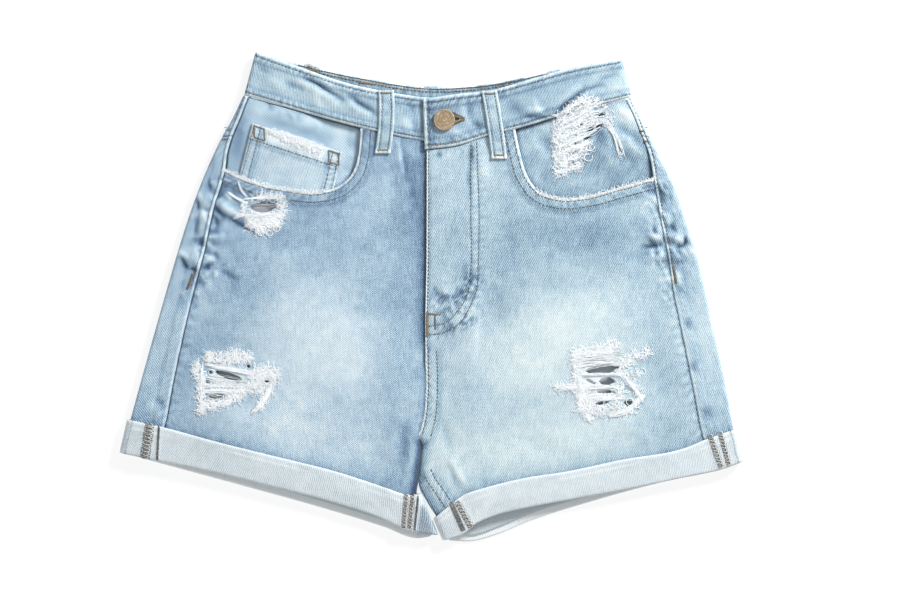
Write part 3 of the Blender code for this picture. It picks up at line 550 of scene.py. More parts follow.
# Creases and puckers beside the side seams: x0, y0, x1, y1, height, width, shade.
SIDE_CREASES = (
    (-188.6, 99, -184, 87, -0.9, 2.2, -0.24), (-197, 85, -196.3, 71, -1.2, 2, -0.28),
    (-194.5, 73, -189, 61, 0.9, 2.2, 0.12), (-199, 67, -194.5, 51, -0.8, 3, -0.16),
    (-206, 84, -183, 81.5, 1, 5, 0.13), (-192, 76, -186, 70, -0.5, 2.5, -0.14),
    (-183.5, 76, -172, 66.5, -1.2, 2.4, -0.26), (-176, 69.5, -147, 52.5, -1.3, 2.8, -0.26),
    (-182, 80.5, -160, 66, 1.1, 3.2, 0.13), (-176.2, 93, -176.8, 81, -0.9, 3, -0.24),
    (-171, 88, -168, 80, 0.6, 2, 0.12), (-168, 90, -163, 82, -0.5, 2, -0.14),
    (-178.5, 72, -182, 50, -0.5, 3.4, -0.14), (-196, 53, -193, 40, -0.6, 4, -0.15),
    (-213.5, 38.5, -204.5, 32, 1.3, 2.4, 0.14), (-210.6, 35, -206.6, 22.5, -1.3, 2.2, -0.3),
    (-208, 25, -196, 21, -1.1, 2, -0.27), (-204, 39, -192, 31.5, 0.9, 4, 0.1),
    (-193, 30, -181.5, 31, 1.1, 2.2, 0.18), (-191, 27, -185.5, 23.5, -1.1, 2.6, -0.28),
    (-183, 39, -178, 31, -0.8, 2, -0.18), (-176.5, 27.5, -172.5, 25, -0.5, 1.8, -0.12),
    (-180, 23.5, -160, 12.5, -0.8, 2.6, -0.16), (-189.2, 22.5, -188.2, 15.5, 0.5, 1.4, 0.18),
    (-181.6, 22.5, -180.6, 15.5, 0.5, 1.4, 0.18), (-203, 2, -196, -9, -0.4, 3.5, -0.1),
    (-214, 0, -206, -6, -0.4, 4, -0.1), (-213, -34, -205, -46, -0.4, 4, -0.08),
    (-240, -88, -226, -100, 0.5, 4, 0.08), (-232, -84, -222, -95, -0.5, 3, -0.12),
    (175, 41.8, 197, 43.6, -1.3, 1.9, -0.32), (187, 61.5, 187.4, 50, -0.9, 2.2, -0.26),
    (179, 52, 186, 45, -0.7, 1.6, -0.18), (178, 47, 191, 52, 0.9, 2.4, 0.1),
    (184, 49, 194, 47, 0.8, 1.6, 0.1), (188.9, 41, 188.9, 33, -0.6, 1.8, -0.18),
    (184.3, 40, 184.8, 31, 0.5, 1.6, 0.12), (193, 40, 193.5, 31, 0.5, 1.6, 0.12),
    (170, 38, 192, 34, -0.5, 5, -0.08), (200.6, 63, 205.4, 53, -1, 2.4, -0.27),
    (204, 41.8, 214, 42.6, -1.2, 1.9, -0.29), (212.6, 51, 213.2, 42, -1.2, 1.7, -0.29),
    (203, 47.5, 212, 47, 1, 3, 0.15), (214.5, 50.5, 222, 46, 1.4, 4, 0.03),
    (204, 38, 215, 32, -0.8, 2.1, -0.17), (205, 34, 216, 35, 0.6, 2, 0.08),
    (204.5, 30, 215, 28, -0.6, 2, -0.15), (213.5, 43, 222, 34, 0.7, 2.2, 0.1),
    (208.6, 11, 209.2, 2, -0.4, 3.2, -0.14), (214.6, -17, 215.8, -29, -0.4, 3.2, -0.16),
    (192.3, 92, 193.6, 75, -0.7, 3.2, -0.2), (190, 74, 196, 66, 0.5, 2.6, 0.12),
    (219, -52, 222, -66, -0.4, 3, -0.12), (228, -92, 234, -104, -0.5, 3.4, -0.12),
)

# Creases of the fronts beside the fly, over the legs and above the cuffs.
FRONT_CREASES = (
    (-29.5, 134, -23.5, 102, 0.9, 2, 0.14), (-26.5, 131, -20, 96, -0.9, 2.6, -0.16),
    (-17, 124, -15, 60, -0.5, 4.5, -0.1), (-38, 112, -42, 60, 0.5, 6, 0.05),
    (3, 121, 9, 116, -0.4, 3, -0.2), (33.5, 129, 35.5, 110, -0.7, 2, -0.22),
    (31.5, 127, 31.5, 80, -0.4, 2.2, -0.12), (42, 120, 46, 90, 0.5, 4, 0.06),
    (0, 8, 9, -2, -0.7, 2.2, -0.22), (8, 10, 16, 0, 0.6, 2, 0.14), (12, 4, 22, -6, -0.6, 2, -0.18),
    (20, 8, 28, -2, -0.5, 2.2, -0.16), (2, -4, 8, -12, 0.5, 1.8, 0.16), (6, -10, 12, -18, -0.5, 1.8, -0.14),
    (27, 30, 30, 8, -0.4, 2.4, -0.1), (46, 10, 60, -30, -0.4, 8, -0.03),
    (-12, -60, -18, -100, 0.6, 6, 0.05), (-20, -98, -26, -156, -0.6, 4, -0.1),
    (-13.5, -118, -17, -160, 0.5, 3, 0.08), (9, -100, 17, -138, -0.6, 4, -0.08),
    (16, -136, 30, -162, 0.8, 2.4, 0.12), (12, -138, 24, -162, -0.7, 2.6, -0.1),
    (-60, -112, -110, -138, -0.4, 7, -0.04), (70, -118, 130, -140, -0.4, 7, -0.04),
    (-150, 40, -110, 22, 0.5, 8, 0.03), (130, 36, 172, 24, 0.5, 8, 0.03),
    (-186, -88, -150, -112, 0.4, 9, 0.03), (150, -102, 190, -122, 0.5, 8, 0.03),
)

FACING_CREASES = (
    (-132, 157, -96, 144, 0.25, 3, 0.07), (-150, 152, -74, 128, -0.4, 4, -0.09),
    (-137, 164, -133, 155, -0.4, 1.8, -0.16), (-121.5, 155, -117.5, 147, -0.3, 1.4, -0.14),
    (-113, 153, -110, 145, -0.3, 1.4, -0.12), (-99, 148, -93, 141, 0.4, 2, 0.1),
    (-158, 152, -164, 120, -0.4, 4, -0.08), (-70, 138, -66, 120, -0.4, 4, -0.08),
    (152, 158, 176, 146, 0.8, 4, 0.12), (150, 148, 178, 128, -0.7, 4, -0.14),
    (156, 138, 180, 116, 0.6, 3, 0.08), (152, 128, 174, 108, -0.6, 3.4, -0.1),
    (140, 126, 160, 104, 0.5, 5, 0.04), (82, 136, 96, 112, 0.5, 5, 0.06),
    (90, 140, 104, 116, -0.5, 4, -0.08), (128, 152, 146, 128, -0.5, 6, -0.16),
)

BAND_CREASES = (
    (-112, 188, -68, 160.5, -1, 2.3, -0.26), (-73, 170.5, -44, 152, -1, 2.3, -0.28),
    (-116, 184, -74, 158, 0.7, 3.2, 0.1), (-74, 165, -50, 150, 0.7, 3, 0.1),
    (-103, 187, -78, 172, 0.6, 2.6, 0.08), (-125, 182, -106, 172, -0.6, 2.6, -0.14),
    (-148, 193, -134, 186, -0.5, 2.4, -0.12), (-140, 184, -122, 171, 0.5, 4, 0.05),
    (-99, 172, -92, 154, 0.4, 3, 0.08), (-60, 176, -44, 166, 0.5, 2.6, 0.1),
    (-22, 168, -12, 150, -0.5, 3, -0.12), (-27, 152, -16, 138, 0.5, 4, 0.1),
    (-16, 150, -9, 134, -0.5, 3.2, -0.12), (34, 165, 30, 146, -0.4, 3, -0.1),
    (24, 164, 31, 142, 0.4, 2.4, 0.1), (33, 146, 45, 142, -0.5, 2.4, -0.18),
    (12, 140, 30, 136, 0.5, 2.6, 0.12), (14, 133, 20, 129, -0.3, 2, -0.12),
    (104, 153, 119, 168, -1, 2.6, -0.26), (114, 164, 131, 175.5, -0.9, 2.2, -0.22),
    (127, 173.5, 146, 178, -0.7, 1.9, -0.18), (99, 156, 126, 177, 0.8, 3.6, 0.1),
    (76, 152, 98, 150, -0.6, 2.4, -0.18), (78, 157, 96, 156, 0.6, 2.6, 0.12),
    (84, 168, 92, 152, 0.4, 2.6, 0.1), (64, 168, 78, 148, -0.4, 4, -0.1),
    (138, 181, 158, 187, -0.5, 2.4, -0.12), (146, 172, 164, 176, 0.5, 3, 0.08),
)

# Creases of the underside, where the cloth bears on the surface: same columns.
UNDER_CREASES = (
    (-200, 40, -160, 18, 1, 5, -0.14), (-205, 20, -150, -12, 0.9, 6, -0.12),
    (-60, -60, -16, -96, 1, 6, -0.14), (-90, -66, -22, -116, 0.9, 7, -0.12),
    (60, -58, 14, -96, 1, 6, -0.14), (96, -70, 22, -118, 0.9, 7, -0.12), (206, 40, 164, 20, 1, 5, -0.14),
    (212, 18, 160, -10, 0.9, 6, -0.12), (-226, -60, -180, -76, 0.7, 7, -0.08),
    (230, -64, 184, -80, 0.7, 7, -0.08),
)

# Tone of each piece before its own marks: 0 is dark indigo, 1 is bleached.
TONES = {
    "front_right": (
        0.46,
        (
            (-92, -38, 52, 54, 0, 0.33), (-60, -70, 34, 60, 0, 0.05), (-24, 50, 16, 90, 0, -0.07),
            (-180, 0, 26, 60, -12, -0.03), (-26, -135, 14, 30, 0, -0.05), (-60, 96, 18, 30, 0, 0.04),
            (-110, -118, 90, 24, -12, 0.21), (-194, -3, 15, 20, 0, 0.14), (-35, 84, 18, 20, 0, 0.07),
            (-60, -2, 20, 15, 0, -0.13), (-146, 6, 18, 16, 0, -0.05), (-112, -90, 24, 18, 0, 0.08),
        ),
    ),
    "front_left": (
        0.57,
        (
            (114, -24, 52, 52, 0, 0.3), (60, -60, 40, 60, 0, 0.07), (14, 60, 14, 60, 0, 0.02),
            (66, 40, 12, 60, 0, -0.09), (11, -3, 13, 10, 0, -0.22), (31, 12, 9, 13, 0, -0.2),
            (22, -20, 13, 8, 0, -0.17), (22, 42, 10, 22, 0, -0.06), (170, 50, 22, 26, 0, 0.05),
            (206, -70, 20, 60, 12, -0.03), (14, -125, 16, 36, 0, 0.14), (110, -122, 90, 24, 10, 0.16),
            (100, 34, 66, 44, 0, -0.17), (160, 4, 26, 34, 0, -0.04), (70, -128, 60, 26, 8, 0.05),
            (152, 52, 42, 24, 0, -0.19), (58, -3, 24, 20, 0, -0.12), (16, -28, 11, 9, 0, -0.13),
            (186, -112, 24, 15, 0, -0.12), (106, 8, 24, 13, 0, -0.07), (196, -52, 15, 32, 0, -0.06),
        ),
    ),
    "back_right": (0.5, ((-228, -60, 20, 50, 0, 0.04), (-80, -20, 60, 80, 0, 0.1))),
    "back_left": (0.48, ((229, -36, 14, 78, 8, 0.13), (80, -20, 60, 80, 0, 0.06))),
    "yoke_right": (0.5, ()),
    "yoke_left": (0.66, ()),
    "pocket_facing_right": (
        0.53,
        (
            (-90, 146, 40, 8, -18, 0.04), (-150, 158, 14, 8, 0, 0.04), (-165, 124, 14, 28, 0, -0.09),
            # The spot at -72, 133 is painted light that lifts the waistband's shadow off the facing.
            (-72, 133, 13, 13, 0, 0.1), (-120, 152, 12, 5, -18, -0.1),
        ),
    ),
    "pocket_facing_left": (
        0.42, ((165, 152, 18, 14, 0, 0.28), (100, 140, 20, 16, 0, 0.1), (140, 112, 26, 14, 0, -0.03)),
    ),
    "coin_pocket": (0.64, ((-118, 108, 26, 16, 0, 0.06),)),
    "waistband": (
        0.5,
        (
            (-120, 182, 46, 24, -16, 0.11), (12, 150, 26, 30, 0, -0.08), (105, 165, 34, 30, 0, -0.07),
            (152, 184, 24, 24, 0, 0.12),
        ),
    ),
    "back_pocket": (0.52, ((-84, 40, 50, 50, 0, 0.12), (84, 40, 50, 50, 0, 0.12))),
    "belt_loop": (0.57, ()),
}

# Yarn left bare by the rips: bleached ground, holes, bundles that cross, ends that hang, curls.
# ground: x, y, half width, half height, turn, amount
# holes: x, y, half width, half height, turn
# bundles: x0, y0, x1, y1, spread, count, bow, curl, radius
# fringes: x0, y0, x1, y1, towards x, towards y, length, count, curl, radius
# tangles: x, y, half width, half height, turn, count, length, curl, radius
# loops: x, y, radius, first angle, swept angle, yarn radius
RIPS = {
    "rip_under_right_pocket": {
        "on": ("front_right",),
        "ground": ((-141, 69, 17, 11, 0, 1.3),),
        "holes": ((-141, 75.2, 12.5, 4.4, 3),),
        "bundles": (
            (-155, 81.5, -128, 82, 1, 12, 1.4, 0.5, 0.25), (-156, 68.5, -126, 69, 1.4, 16, -1, 0.7, 0.25),
            (-154, 63, -127, 63.5, 3.4, 16, -1, 1.4, 0.25), (-157, 79, -169.5, 87, 0.9, 9, 0.4, 0.3, 0.3),
            (-154, 83, -162.5, 96.5, 0.6, 5, 1.5, 0.4, 0.24), (-156, 70, -166, 66, 1.2, 10, 0.4, 0.8, 0.26),
            (-157, 77, -127, 76, 2.6, 3, 0.4, 0.6, 0.13),
        ),
        "fringes": (
            (-154, 60, -128, 62, 0.1, -1, 7, 50, 1.5, 0.22), (-128, 64, -125, 82, 1, 0.1, 4, 30, 1.4, 0.22),
        ),
        "tangles": (
            (-138, 83, 14, 2.4, 3, 68, 8.4, 0.32, 0.3), (-140.5, 63.5, 15.5, 6.6, 0, 186, 10.5, 0.32, 0.31),
            (-125.5, 73, 3.4, 11, 0, 56, 8.4, 0.36, 0.3), (-157, 73.5, 3.6, 7, 0, 37, 8.4, 0.32, 0.3),
            (-141.5, 54.8, 6.5, 2.6, 0, 37, 7, 0.48, 0.28), (-152, 59, 5, 3, 20, 22, 7, 0.48, 0.28),
        ),
        "loops": (
            (-136, 53.5, 2.6, 40, 330, 0.28), (-143.5, 53.5, 2.2, 0, 300, 0.25),
            (-130, 57, 2.4, 90, 320, 0.26),
        ),
    },
    "rip_right_thigh": {
        "on": ("front_right",),
        "ground": ((-172, -71, 22, 18, 0, 1.3), (-141, -68, 12, 10, 0, 0.9)),
        "holes": (
            (-170.5, -66.4, 13.5, 2.5, -18), (-186, -63.4, 2.4, 1.8, -20), (-187.6, -71.6, 2.6, 1.5, -10),
            (-161.5, -72.8, 8.5, 1.2, 4), (-138, -71.2, 2.4, 1.1, 10), (-180, -83.4, 8, 2.2, 5),
            (-171, -76.5, 7, 0.8, -4), (-153.5, -58.6, 2.6, 1.3, -40),
        ),
        "bundles": (
            (-187, -57.5, -150, -65, 1.7, 34, 0.6, 0.25, 0.25),
            (-189, -69, -150, -75.5, 2.2, 9, 0.5, 1, 0.22), (-190, -75, -149, -76, 1.2, 12, 0.5, 1, 0.24),
            (-190, -79, -152, -79, 1.4, 18, -0.5, 0.9, 0.25),
            (-190, -83, -168, -83, 2.4, 7, -0.3, 0.8, 0.17),
            (-133.5, -74, -149.5, -97, 1.7, 30, 1.6, 0.9, 0.25),
            (-154, -67, -128, -66, 4.5, 14, 0.8, 1.6, 0.25),
            (-193, -58, -192.5, -96, 1.8, 14, 0.8, 1.3, 0.24),
            (-186, -66, -156, -70, 1.5, 3, 0.2, 0.5, 0.13),
        ),
        "fringes": (
            (-190, -48, -150, -48, 0.1, 1, 4, 60, 1.4, 0.22),
            (-195, -54, -195, -69, -1, 0.1, 6, 36, 1, 0.23),
            (-195, -92, -158, -83, 0, -1, 5, 60, 1.7, 0.23),
            (-129, -60, -129, -74, 1, 0.1, 4, 30, 1.5, 0.23),
            (-133, -80, -146, -96, 0.8, -0.6, 4, 40, 1.5, 0.23),
        ),
        "tangles": (
            (-171, -52, 20, 4.6, 0, 186, 8.4, 0.4, 0.3), (-167.5, -49.5, 5, 3.2, 0, 37, 7, 0.48, 0.29),
            (-155, -51.5, 5.5, 3.6, -10, 43, 7, 0.48, 0.29), (-186, -51, 3.5, 5, 0, 31, 7, 0.48, 0.29),
            (-193.5, -78, 3, 19, -2, 118, 8.4, 0.36, 0.3), (-197, -61, 3.6, 6, 0, 37, 8.4, 0.32, 0.29),
            (-171, -77.6, 18, 2.4, -2, 74, 11.2, 0.2, 0.29), (-184, -91, 11, 3.4, 8, 118, 8.4, 0.48, 0.29),
            (-165, -85, 9.5, 3.4, 20, 81, 8.4, 0.48, 0.29),
            (-140.5, -66.5, 11.5, 8.5, 0, 205, 9.8, 0.4, 0.3),
            (-146, -78, 7, 4.5, -30, 56, 8.4, 0.48, 0.29), (-141, -87, 4, 8, -30, 43, 7, 0.48, 0.28),
            (-193.5, -96.5, 2.6, 3, 0, 16, 7, 0.48, 0.29),
        ),
        "loops": (
            (-153, -58.5, 4.6, 200, 200, 0.3), (-184.5, -63.5, 2.6, 20, 320, 0.3),
            (-173, -91, 2.6, 180, 260, 0.25), (-148, -70.5, 3.6, 120, 250, 0.28),
        ),
    },
    "rip_left_thigh": {
        "on": ("front_left",),
        "ground": ((139, -69, 16, 24, 0, 1.3), (170, -54, 11, 5, 24, 0.6), (113, -76, 8, 3, 0, 0.6)),
        "holes": (
            (143.5, -60.8, 15.6, 4.3, 9), (147, -71, 6.8, 3.4, 0), (134, -71.4, 6, 1.4, -24),
            (146, -80, 9.4, 1.5, 0), (143, -89.2, 6.4, 1.6, 12), (138, -51.4, 12, 1.1, 4),
            (138, -55.6, 13, 1.1, 6), (166, -90, 5, 2.6, -20),
        ),
        "bundles": (
            (118, -50, 160, -47.5, 1.9, 13, 1.2, 1, 0.24), (118, -54.6, 160, -52.5, 1.2, 11, 2.2, 1, 0.24),
            (120, -59.5, 160, -56.6, 0.8, 12, 3, 0.8, 0.24), (126, -63, 159, -58.5, 0.5, 3, 2.6, 0.5, 0.2),
            (122, -66, 160, -65.2, 0.9, 15, 0.4, 0.7, 0.24),
            (122, -76.4, 160, -75.8, 1.2, 17, 0.4, 0.9, 0.25),
            (122, -84, 158, -84.5, 1.9, 20, -0.5, 1.2, 0.25), (156, -64, 176, -87, 1.3, 24, 2.4, 0.8, 0.26),
            (176, -84, 151, -98.5, 1.3, 24, 4.2, 0.8, 0.26), (127, -74.5, 104, -76, 2, 20, 0.8, 0.8, 0.26),
            (124, -58, 126, -96, 2, 16, -1.2, 1.5, 0.25),
        ),
        "fringes": (
            (118, -46, 150, -42, 0.1, 1, 4.5, 50, 1.4, 0.22),
            (126, -98, 154, -98, 0.1, -1, 5, 56, 1.6, 0.23), (120, -50, 122, -70, -1, 0, 4, 36, 1.3, 0.23),
            (162, -52, 184, -43, 0.2, 1, 4, 30, 1.5, 0.22),
        ),
        "tangles": (
            (136, -45.5, 19, 3.4, 8, 143, 8.4, 0.4, 0.29), (151.5, -41, 6.5, 4, 20, 56, 7.7, 0.44, 0.29),
            (122, -61, 3.4, 17, 0, 93, 8.4, 0.36, 0.29), (126, -84, 4.6, 12, 0, 81, 8.4, 0.4, 0.29),
            (172.5, -51.5, 14, 3.2, 26, 93, 8.4, 0.4, 0.29), (171, -64, 7, 1.8, -6, 21, 8.4, 0.48, 0.26),
            (160, -60, 3.6, 9, 0, 56, 8.4, 0.4, 0.29), (114, -76, 11, 3, 3, 56, 8.4, 0.32, 0.29),
            (139, -94.5, 15.5, 4.6, 0, 143, 9.1, 0.44, 0.3), (132, -101.5, 4.4, 2.6, 10, 31, 7, 0.48, 0.28),
            (140, -85, 15, 3.2, 0, 68, 9.8, 0.28, 0.29), (158, -79, 4, 8, 20, 56, 8.4, 0.44, 0.29),
            (166, -96, 9, 2.6, 8, 37, 7, 0.44, 0.28), (172, -78, 3, 9, 24, 37, 7, 0.44, 0.28),
            (141, -48.5, 17, 1.6, 3, 37, 8.4, 0.24, 0.29), (158, -90, 5, 5, 0, 37, 8.4, 0.48, 0.29),
        ),
        "loops": (
            (164, -77, 3.4, 20, 300, 0.28), (166.5, -88, 3, 0, 320, 0.26), (177, -63, 2.6, 200, 280, 0.24),
            (185, -46.5, 2.2, 90, 250, 0.22), (134, -103.5, 2.2, 0, 260, 0.24),
        ),
    },
    "rip_left_facing": {
        "on": ("pocket_facing_left", "band_top"),
        "ground": ((119, 132, 14, 18, -25, 0.85), (128, 153, 16, 7, 32, 0.8), (107, 112, 6, 10, 0, 0.6)),
        "holes": (
            (131, 134, 5.4, 1.6, 28), (141, 143.4, 3.6, 1.5, 24), (122, 129, 4, 1, 24),
            (133.5, 139.8, 3.4, 1.3, 20), (141, 152.4, 5.2, 1.5, 8), (114, 137, 4, 0.9, 26),
            (124, 143, 4.6, 0.9, 28),
        ),
        "bundles": (
            (105, 150, 133, 169, 1.6, 10, 1, 1.5, 0.24), (104, 143, 142, 163, 2, 12, 0.8, 1.65, 0.24),
            (104, 137, 146, 157, 1.6, 12, 0.6, 1.5, 0.24), (104, 131, 148, 149.5, 1.6, 12, 0.5, 1.5, 0.24),
            (105, 125, 140, 141, 1.6, 12, -0.4, 1.5, 0.24),
            (105, 118, 134, 130.5, 1.8, 12, -0.5, 1.65, 0.24),
            (106, 111, 129, 120.5, 1.8, 11, -0.5, 1.8, 0.24),
            (106, 105, 125, 111, 1.6, 10, -0.5, 1.95, 0.24),
            (146.5, 146, 157, 119, 0.7, 9, 1.8, 0.45, 0.26),
            (148.5, 145, 161.5, 119, 0.7, 9, 1.8, 0.45, 0.26),
        ),
        "fringes": (
            (105, 106, 124, 109, 0, -1, 5, 50, 1.5, 0.23), (106, 150, 132, 168, -0.5, 1, 6, 70, 0.9, 0.23),
            (104, 104, 103, 148, -1, 0.1, 3.6, 60, 1.2, 0.22),
            (132, 168, 152, 154, 1, 0.4, 5, 44, 1.2, 0.22),
        ),
        "tangles": (
            (120, 155, 17, 5.5, 33, 86, 9.8, 0.32, 0.29), (132, 160, 9, 5, 20, 49, 9.8, 0.36, 0.29),
            (142, 149, 9, 5, 30, 44, 9.1, 0.36, 0.29), (108, 138, 5, 13, -8, 63, 9.8, 0.28, 0.29),
            (118, 140, 13, 6, 26, 49, 11.2, 0.24, 0.29), (116, 126, 12, 6, 24, 63, 11.2, 0.28, 0.29),
            (109, 114, 6, 9, 0, 56, 9.8, 0.36, 0.29), (128, 126, 6, 6, 0, 34, 9.1, 0.48, 0.29),
            (120, 114, 8, 6, 20, 49, 9.1, 0.44, 0.29), (110, 105, 5.5, 3.4, 10, 30, 7, 0.48, 0.28),
            (133, 148, 12, 4, 28, 34, 9.8, 0.28, 0.29), (105.5, 101.5, 2.6, 2.2, 0, 9, 6.3, 0.4, 0.26),
            (148, 146, 3.6, 3, 0, 15, 7, 0.44, 0.29), (159.5, 120, 2.4, 3, 0, 7, 5.6, 0.4, 0.26),
        ),
        "loops": (
            (133, 126, 3.4, 30, 330, 0.28), (131.5, 117, 3.2, 60, 320, 0.28),
            (125, 107.5, 2.4, 0, 300, 0.25),
        ),
    },
}


# ---------------------------------------------------------------- forms shared by the pieces

# Distances of the rows of stitches from the edge that they follow.
MOUTH_ROWS, CENTRE_ROWS, INSEAM_ROWS = (2.4, 8.6), (2.2, 9.8), (1.8, 8.6)
COIN_SIDE_ROWS, PATCH_ROWS = (2, 7.6), (2, 8)
STRIP_ROW, LOOP_ROW = 2.4, 3.9


def swell(x, y):
    """Broad soft forms of all that lies on top."""
    return 0.9 + spots(x, y, SWELLS) + 0.45 * noise(x, y, 55, 11) + 0.2 * noise(x, y, 22, 12)


def crumple(x, y, gap):
    """Small sharp puckers beside a side seam, strongest over the hip; gap is the distance from it."""
    here = np.exp(-(gap / 13)**2) * ramp(y, -20, 12) * ramp(y, 112, 88)
    fold = np.abs(noise(x + 0.5 * y, 0.6 * y, 5.5, 21))
    ridge = 1 - 3 * fold + 0.5 * noise(x, y, 3.4, 22)
    # The tone, lighter on the ridges and pale along the sharpest folds, is partly real fading, partly
    # painted light and shade of the puckers.
    return 0.50 * ridge * here, (0.13 * (ridge - 0.35) + 0.16 * np.exp(-(fold / 0.10)**2)) * here


def crackle(x, y, seed):
    """Thin pale lines between darker flakes, from about -1 to 1."""
    lines = np.minimum(np.abs(noise(x, y, 5.6, seed)), np.abs(noise(x + 3, y, 4.6, seed + 1)))
    return 1.9 * np.exp(-(lines / 0.20)**2) - 0.9


def mottle(x, y, seed):
    """Uneven washing: broad clouds and smaller blotches."""
    clouds = 0.045 * noise(x, y, 32, seed) + 0.04 * noise(x, y, 11, seed + 1)
    return clouds + 0.03 * noise(x, y, 4.5, seed + 2)


def puckers(s, d, pitch, seed, size=6, amount=3):
    """Even little waves along a seam, as drawn-in stitches make; s is along it and d from it."""
    return np.sin(s / pitch + amount * noise(s, d, size, seed))


def cuff_shade(x, y, side):
    """Painted shadow of a cuff on the cloth just above it."""
    return 0.17 * np.exp(-np.clip(above_cuff(x, y, side), 0, 60) / 4.5)


def hem_form(d, s, lines, depth, white=0.2, seed=31):
    """Height, wash and wear of doubled cloth inside a folded edge, d from it and s along it."""
    inside = ramp(d, -0.2, 0.8) * (1 - ramp(d, depth, depth + 2))
    rope = np.sin(2 * math.pi * (s + 0.7 * d) / 6.2 + 3.6 * noise(s, d, 9, seed)) * inside
    rope *= 0.55 + 0.6 * noise(s, d, 13, seed + 4)
    patchy = 0.6 + 0.4 * noise(s, d, 4, seed + 1)
    height = 0.55 * inside + 0.16 * rope
    # The pale edge and the roping are real wear; the dark band just past the doubled cloth is painted shade
    # at its step.
    wash = white * patchy * bump(d, 0.5, 1.2) + 0.15 * rope - 0.16 * bump(d, depth + 2, 1.8)
    # Each row of stitches sinks a groove that is darkened with painted shade.
    for at in lines:
        height -= 0.34 * bump(d, at, 0.9)
        wash -= 0.16 * bump(d, at + 0.3, 1)
    return height, wash, 3.2 * white * patchy * bump(d, 0.5, 0.9)


def signed(x, y, ring, reach=14):
    """Distance from a closed ring of points, minus inside it."""
    closed = [tuple(p) for p in ring] + [tuple(ring[0])]
    far = np.abs(away(x, y, closed, reach)[0])
    inside = np.zeros(np.shape(x), bool)
    for (x0, y0), (x1, y1) in zip(closed[:-1], closed[1:]):
        if y0 != y1:
            inside ^= ((y0 > y) != (y1 > y)) & (x < (x1 - x0) * (y - y0) / (y1 - y0) + x0)
    return np.where(inside, -far, far)


def above_cuff(x, y, side, table=CUFF_FRONT, reach=60):
    """Distance above the upper edge of a cuff, minus below it."""
    far = away(x, y, smooth([row[:2] for row in table[side]], even(60)), reach)[0]
    return np.where(np.abs(far) > FAR / 10, FAR, -SIGN[side] * far)


def bare(x, y, side):
    """1 where a panel is free, 0 under a cuff or a belt loop, where its relief is pressed flat."""
    free = ramp(above_cuff(x, y, side), -0.5, 3.5)
    for loop in FRONT_LOOPS.values():
        free *= ramp(np.abs(away(x, y, loop)[0]), 6.3, 9)
    return free


def ragged_ring(cx, cy, half_x, half_y, turn, seed):
    """The torn outline of a hole."""
    angle = np.linspace(0, 2 * math.pi, 37)[:-1]
    rough = 1 + 0.16 * np.random.default_rng(seed).uniform(-1, 1, len(angle))
    u, v = half_x * np.cos(angle) * rough, half_y * np.sin(angle) * np.abs(np.sin(angle))**0.6 * rough
    c, s = math.cos(math.radians(turn)), math.sin(math.radians(turn))
    return np.column_stack((cx + u * c - v * s, cy + u * s + v * c))


def rip_marks(x, y, node):
    """Bleaching round the rips of a piece, and how far each point is from its holes."""
    ground, holes = np.zeros_like(x), np.full_like(x, FAR)
    for rip in RIPS.values():
        ground += spots(x, y, rip["ground"])
        if node in rip["on"]:
            for k, hole in enumerate(rip["holes"]):
                holes = np.minimum(holes, signed(x, y, ragged_ring(*hole, k)))
    return 0.6 * ramp(ground + 0.25 * noise(x, y, 5, 17), 0.40, 0.95), holes


def mouth_ring(scoop, sign):
    """The outline that a pocket mouth takes out of a front, closed outside the front."""
    mouth = smooth(scoop, even(70)).tolist()
    rise = scoop[-1][1] + 2 * SCOOP_MARGIN
    out = scoop[0][0] + sign * SCOOP_MARGIN
    return mouth + [(scoop[-1][0], rise), (out, rise), (out, scoop[0][1] + 4)]


def chain(*parts):
    """Points along several smooth lines end to end, each cut into its own number of steps."""
    out = [smooth(line, even(steps + 1))[0 if i == 0 else 1:]
           for i, (line, steps) in enumerate(parts)]
    return np.vstack(out)


def patch(lower, upper, start, end, across):
    """Planform points of a four-sided patch between its edges, as in the CAD source."""
    s = np.asarray(across, float)[None, :, None]
    t = even(len(start))[:, None, None]
    low, high = smooth(lower, across)[None], smooth(upper, across)[None]
    corners = ((1 - s) * (1 - t) * low[:, :1] + s * (1 - t) * low[:, -1:]
               + (1 - s) * t * high[:, :1] + s * t * high[:, -1:])
    return (1 - t) * low + t * high + (1 - s) * start[:, None] + s * end[:, None] - corners


def shifted(points, dx=0, dy=0):
    return tuple((x + dx, y + dy) for x, y in points)


def table_of(*values):
    """X, Y, Z, U, V, WASH, WORN and THICK of a piece's points, one row a point."""
    shape = np.shape(values[0])
    return np.stack([np.broadcast_to(np.asarray(a, float), shape).ravel() for a in values], axis=1)


def cloth_piece(name, material, values, shape, keep=None, closed=False, face_up=True):
    """A piece of cloth from a grid of points, kept where keep is above zero, and its values."""
    data, faces = values, grid_faces(*shape, closed)
    if keep is not None:
        data, faces = clipped(data, faces, keep.ravel())
    return shell(name + "_cloth", data, faces, material, face_up), data


def scoop_ring(side):
    """The mouth of a side's front pocket."""
    return mouth_ring(SCOOP[side], SIGN[side])


def grained(x, y, degrees):
    """Place along and across the grain of a panel cut at an angle."""
    return spun(x, y, -degrees)


# ---------------------------------------------------------------- fronts and backs

FINE = 9
CURL_STEPS = (3.4, 2.6, 1.9, 1.4, 0.9, 0.5, 0.2, 0)
PANEL_WIDTH = 220
GRAINS = {"right": 6, "left": -6}
J_INNER = ((33, 128), (33, 70), (33, 20), (31, 5), (28, -3), (22, -12), (15, -20),
           (5, -24), (-3, -25))
J_OUTER = ((38, 130), (40, 60), (39, 20), (38, 5), (34, -5), (30, -13), (25, -21),
           (17, -27), (8, -31), (-3, -32))
INSEAM = ((-8.5, -148), (-5, -155.5), (0, -163), (10, -178), (14, -186))
SIDE_STITCH_END = {"right": 8, "left": 16}


def fly_share(x, y, start, end):
    """How far a point is over the fly's own layer, from 0 to 1."""
    return ramp(x, start, end) * ramp(y, FLY_BOTTOM_Y - FLY_FADE, FLY_BOTTOM_Y)


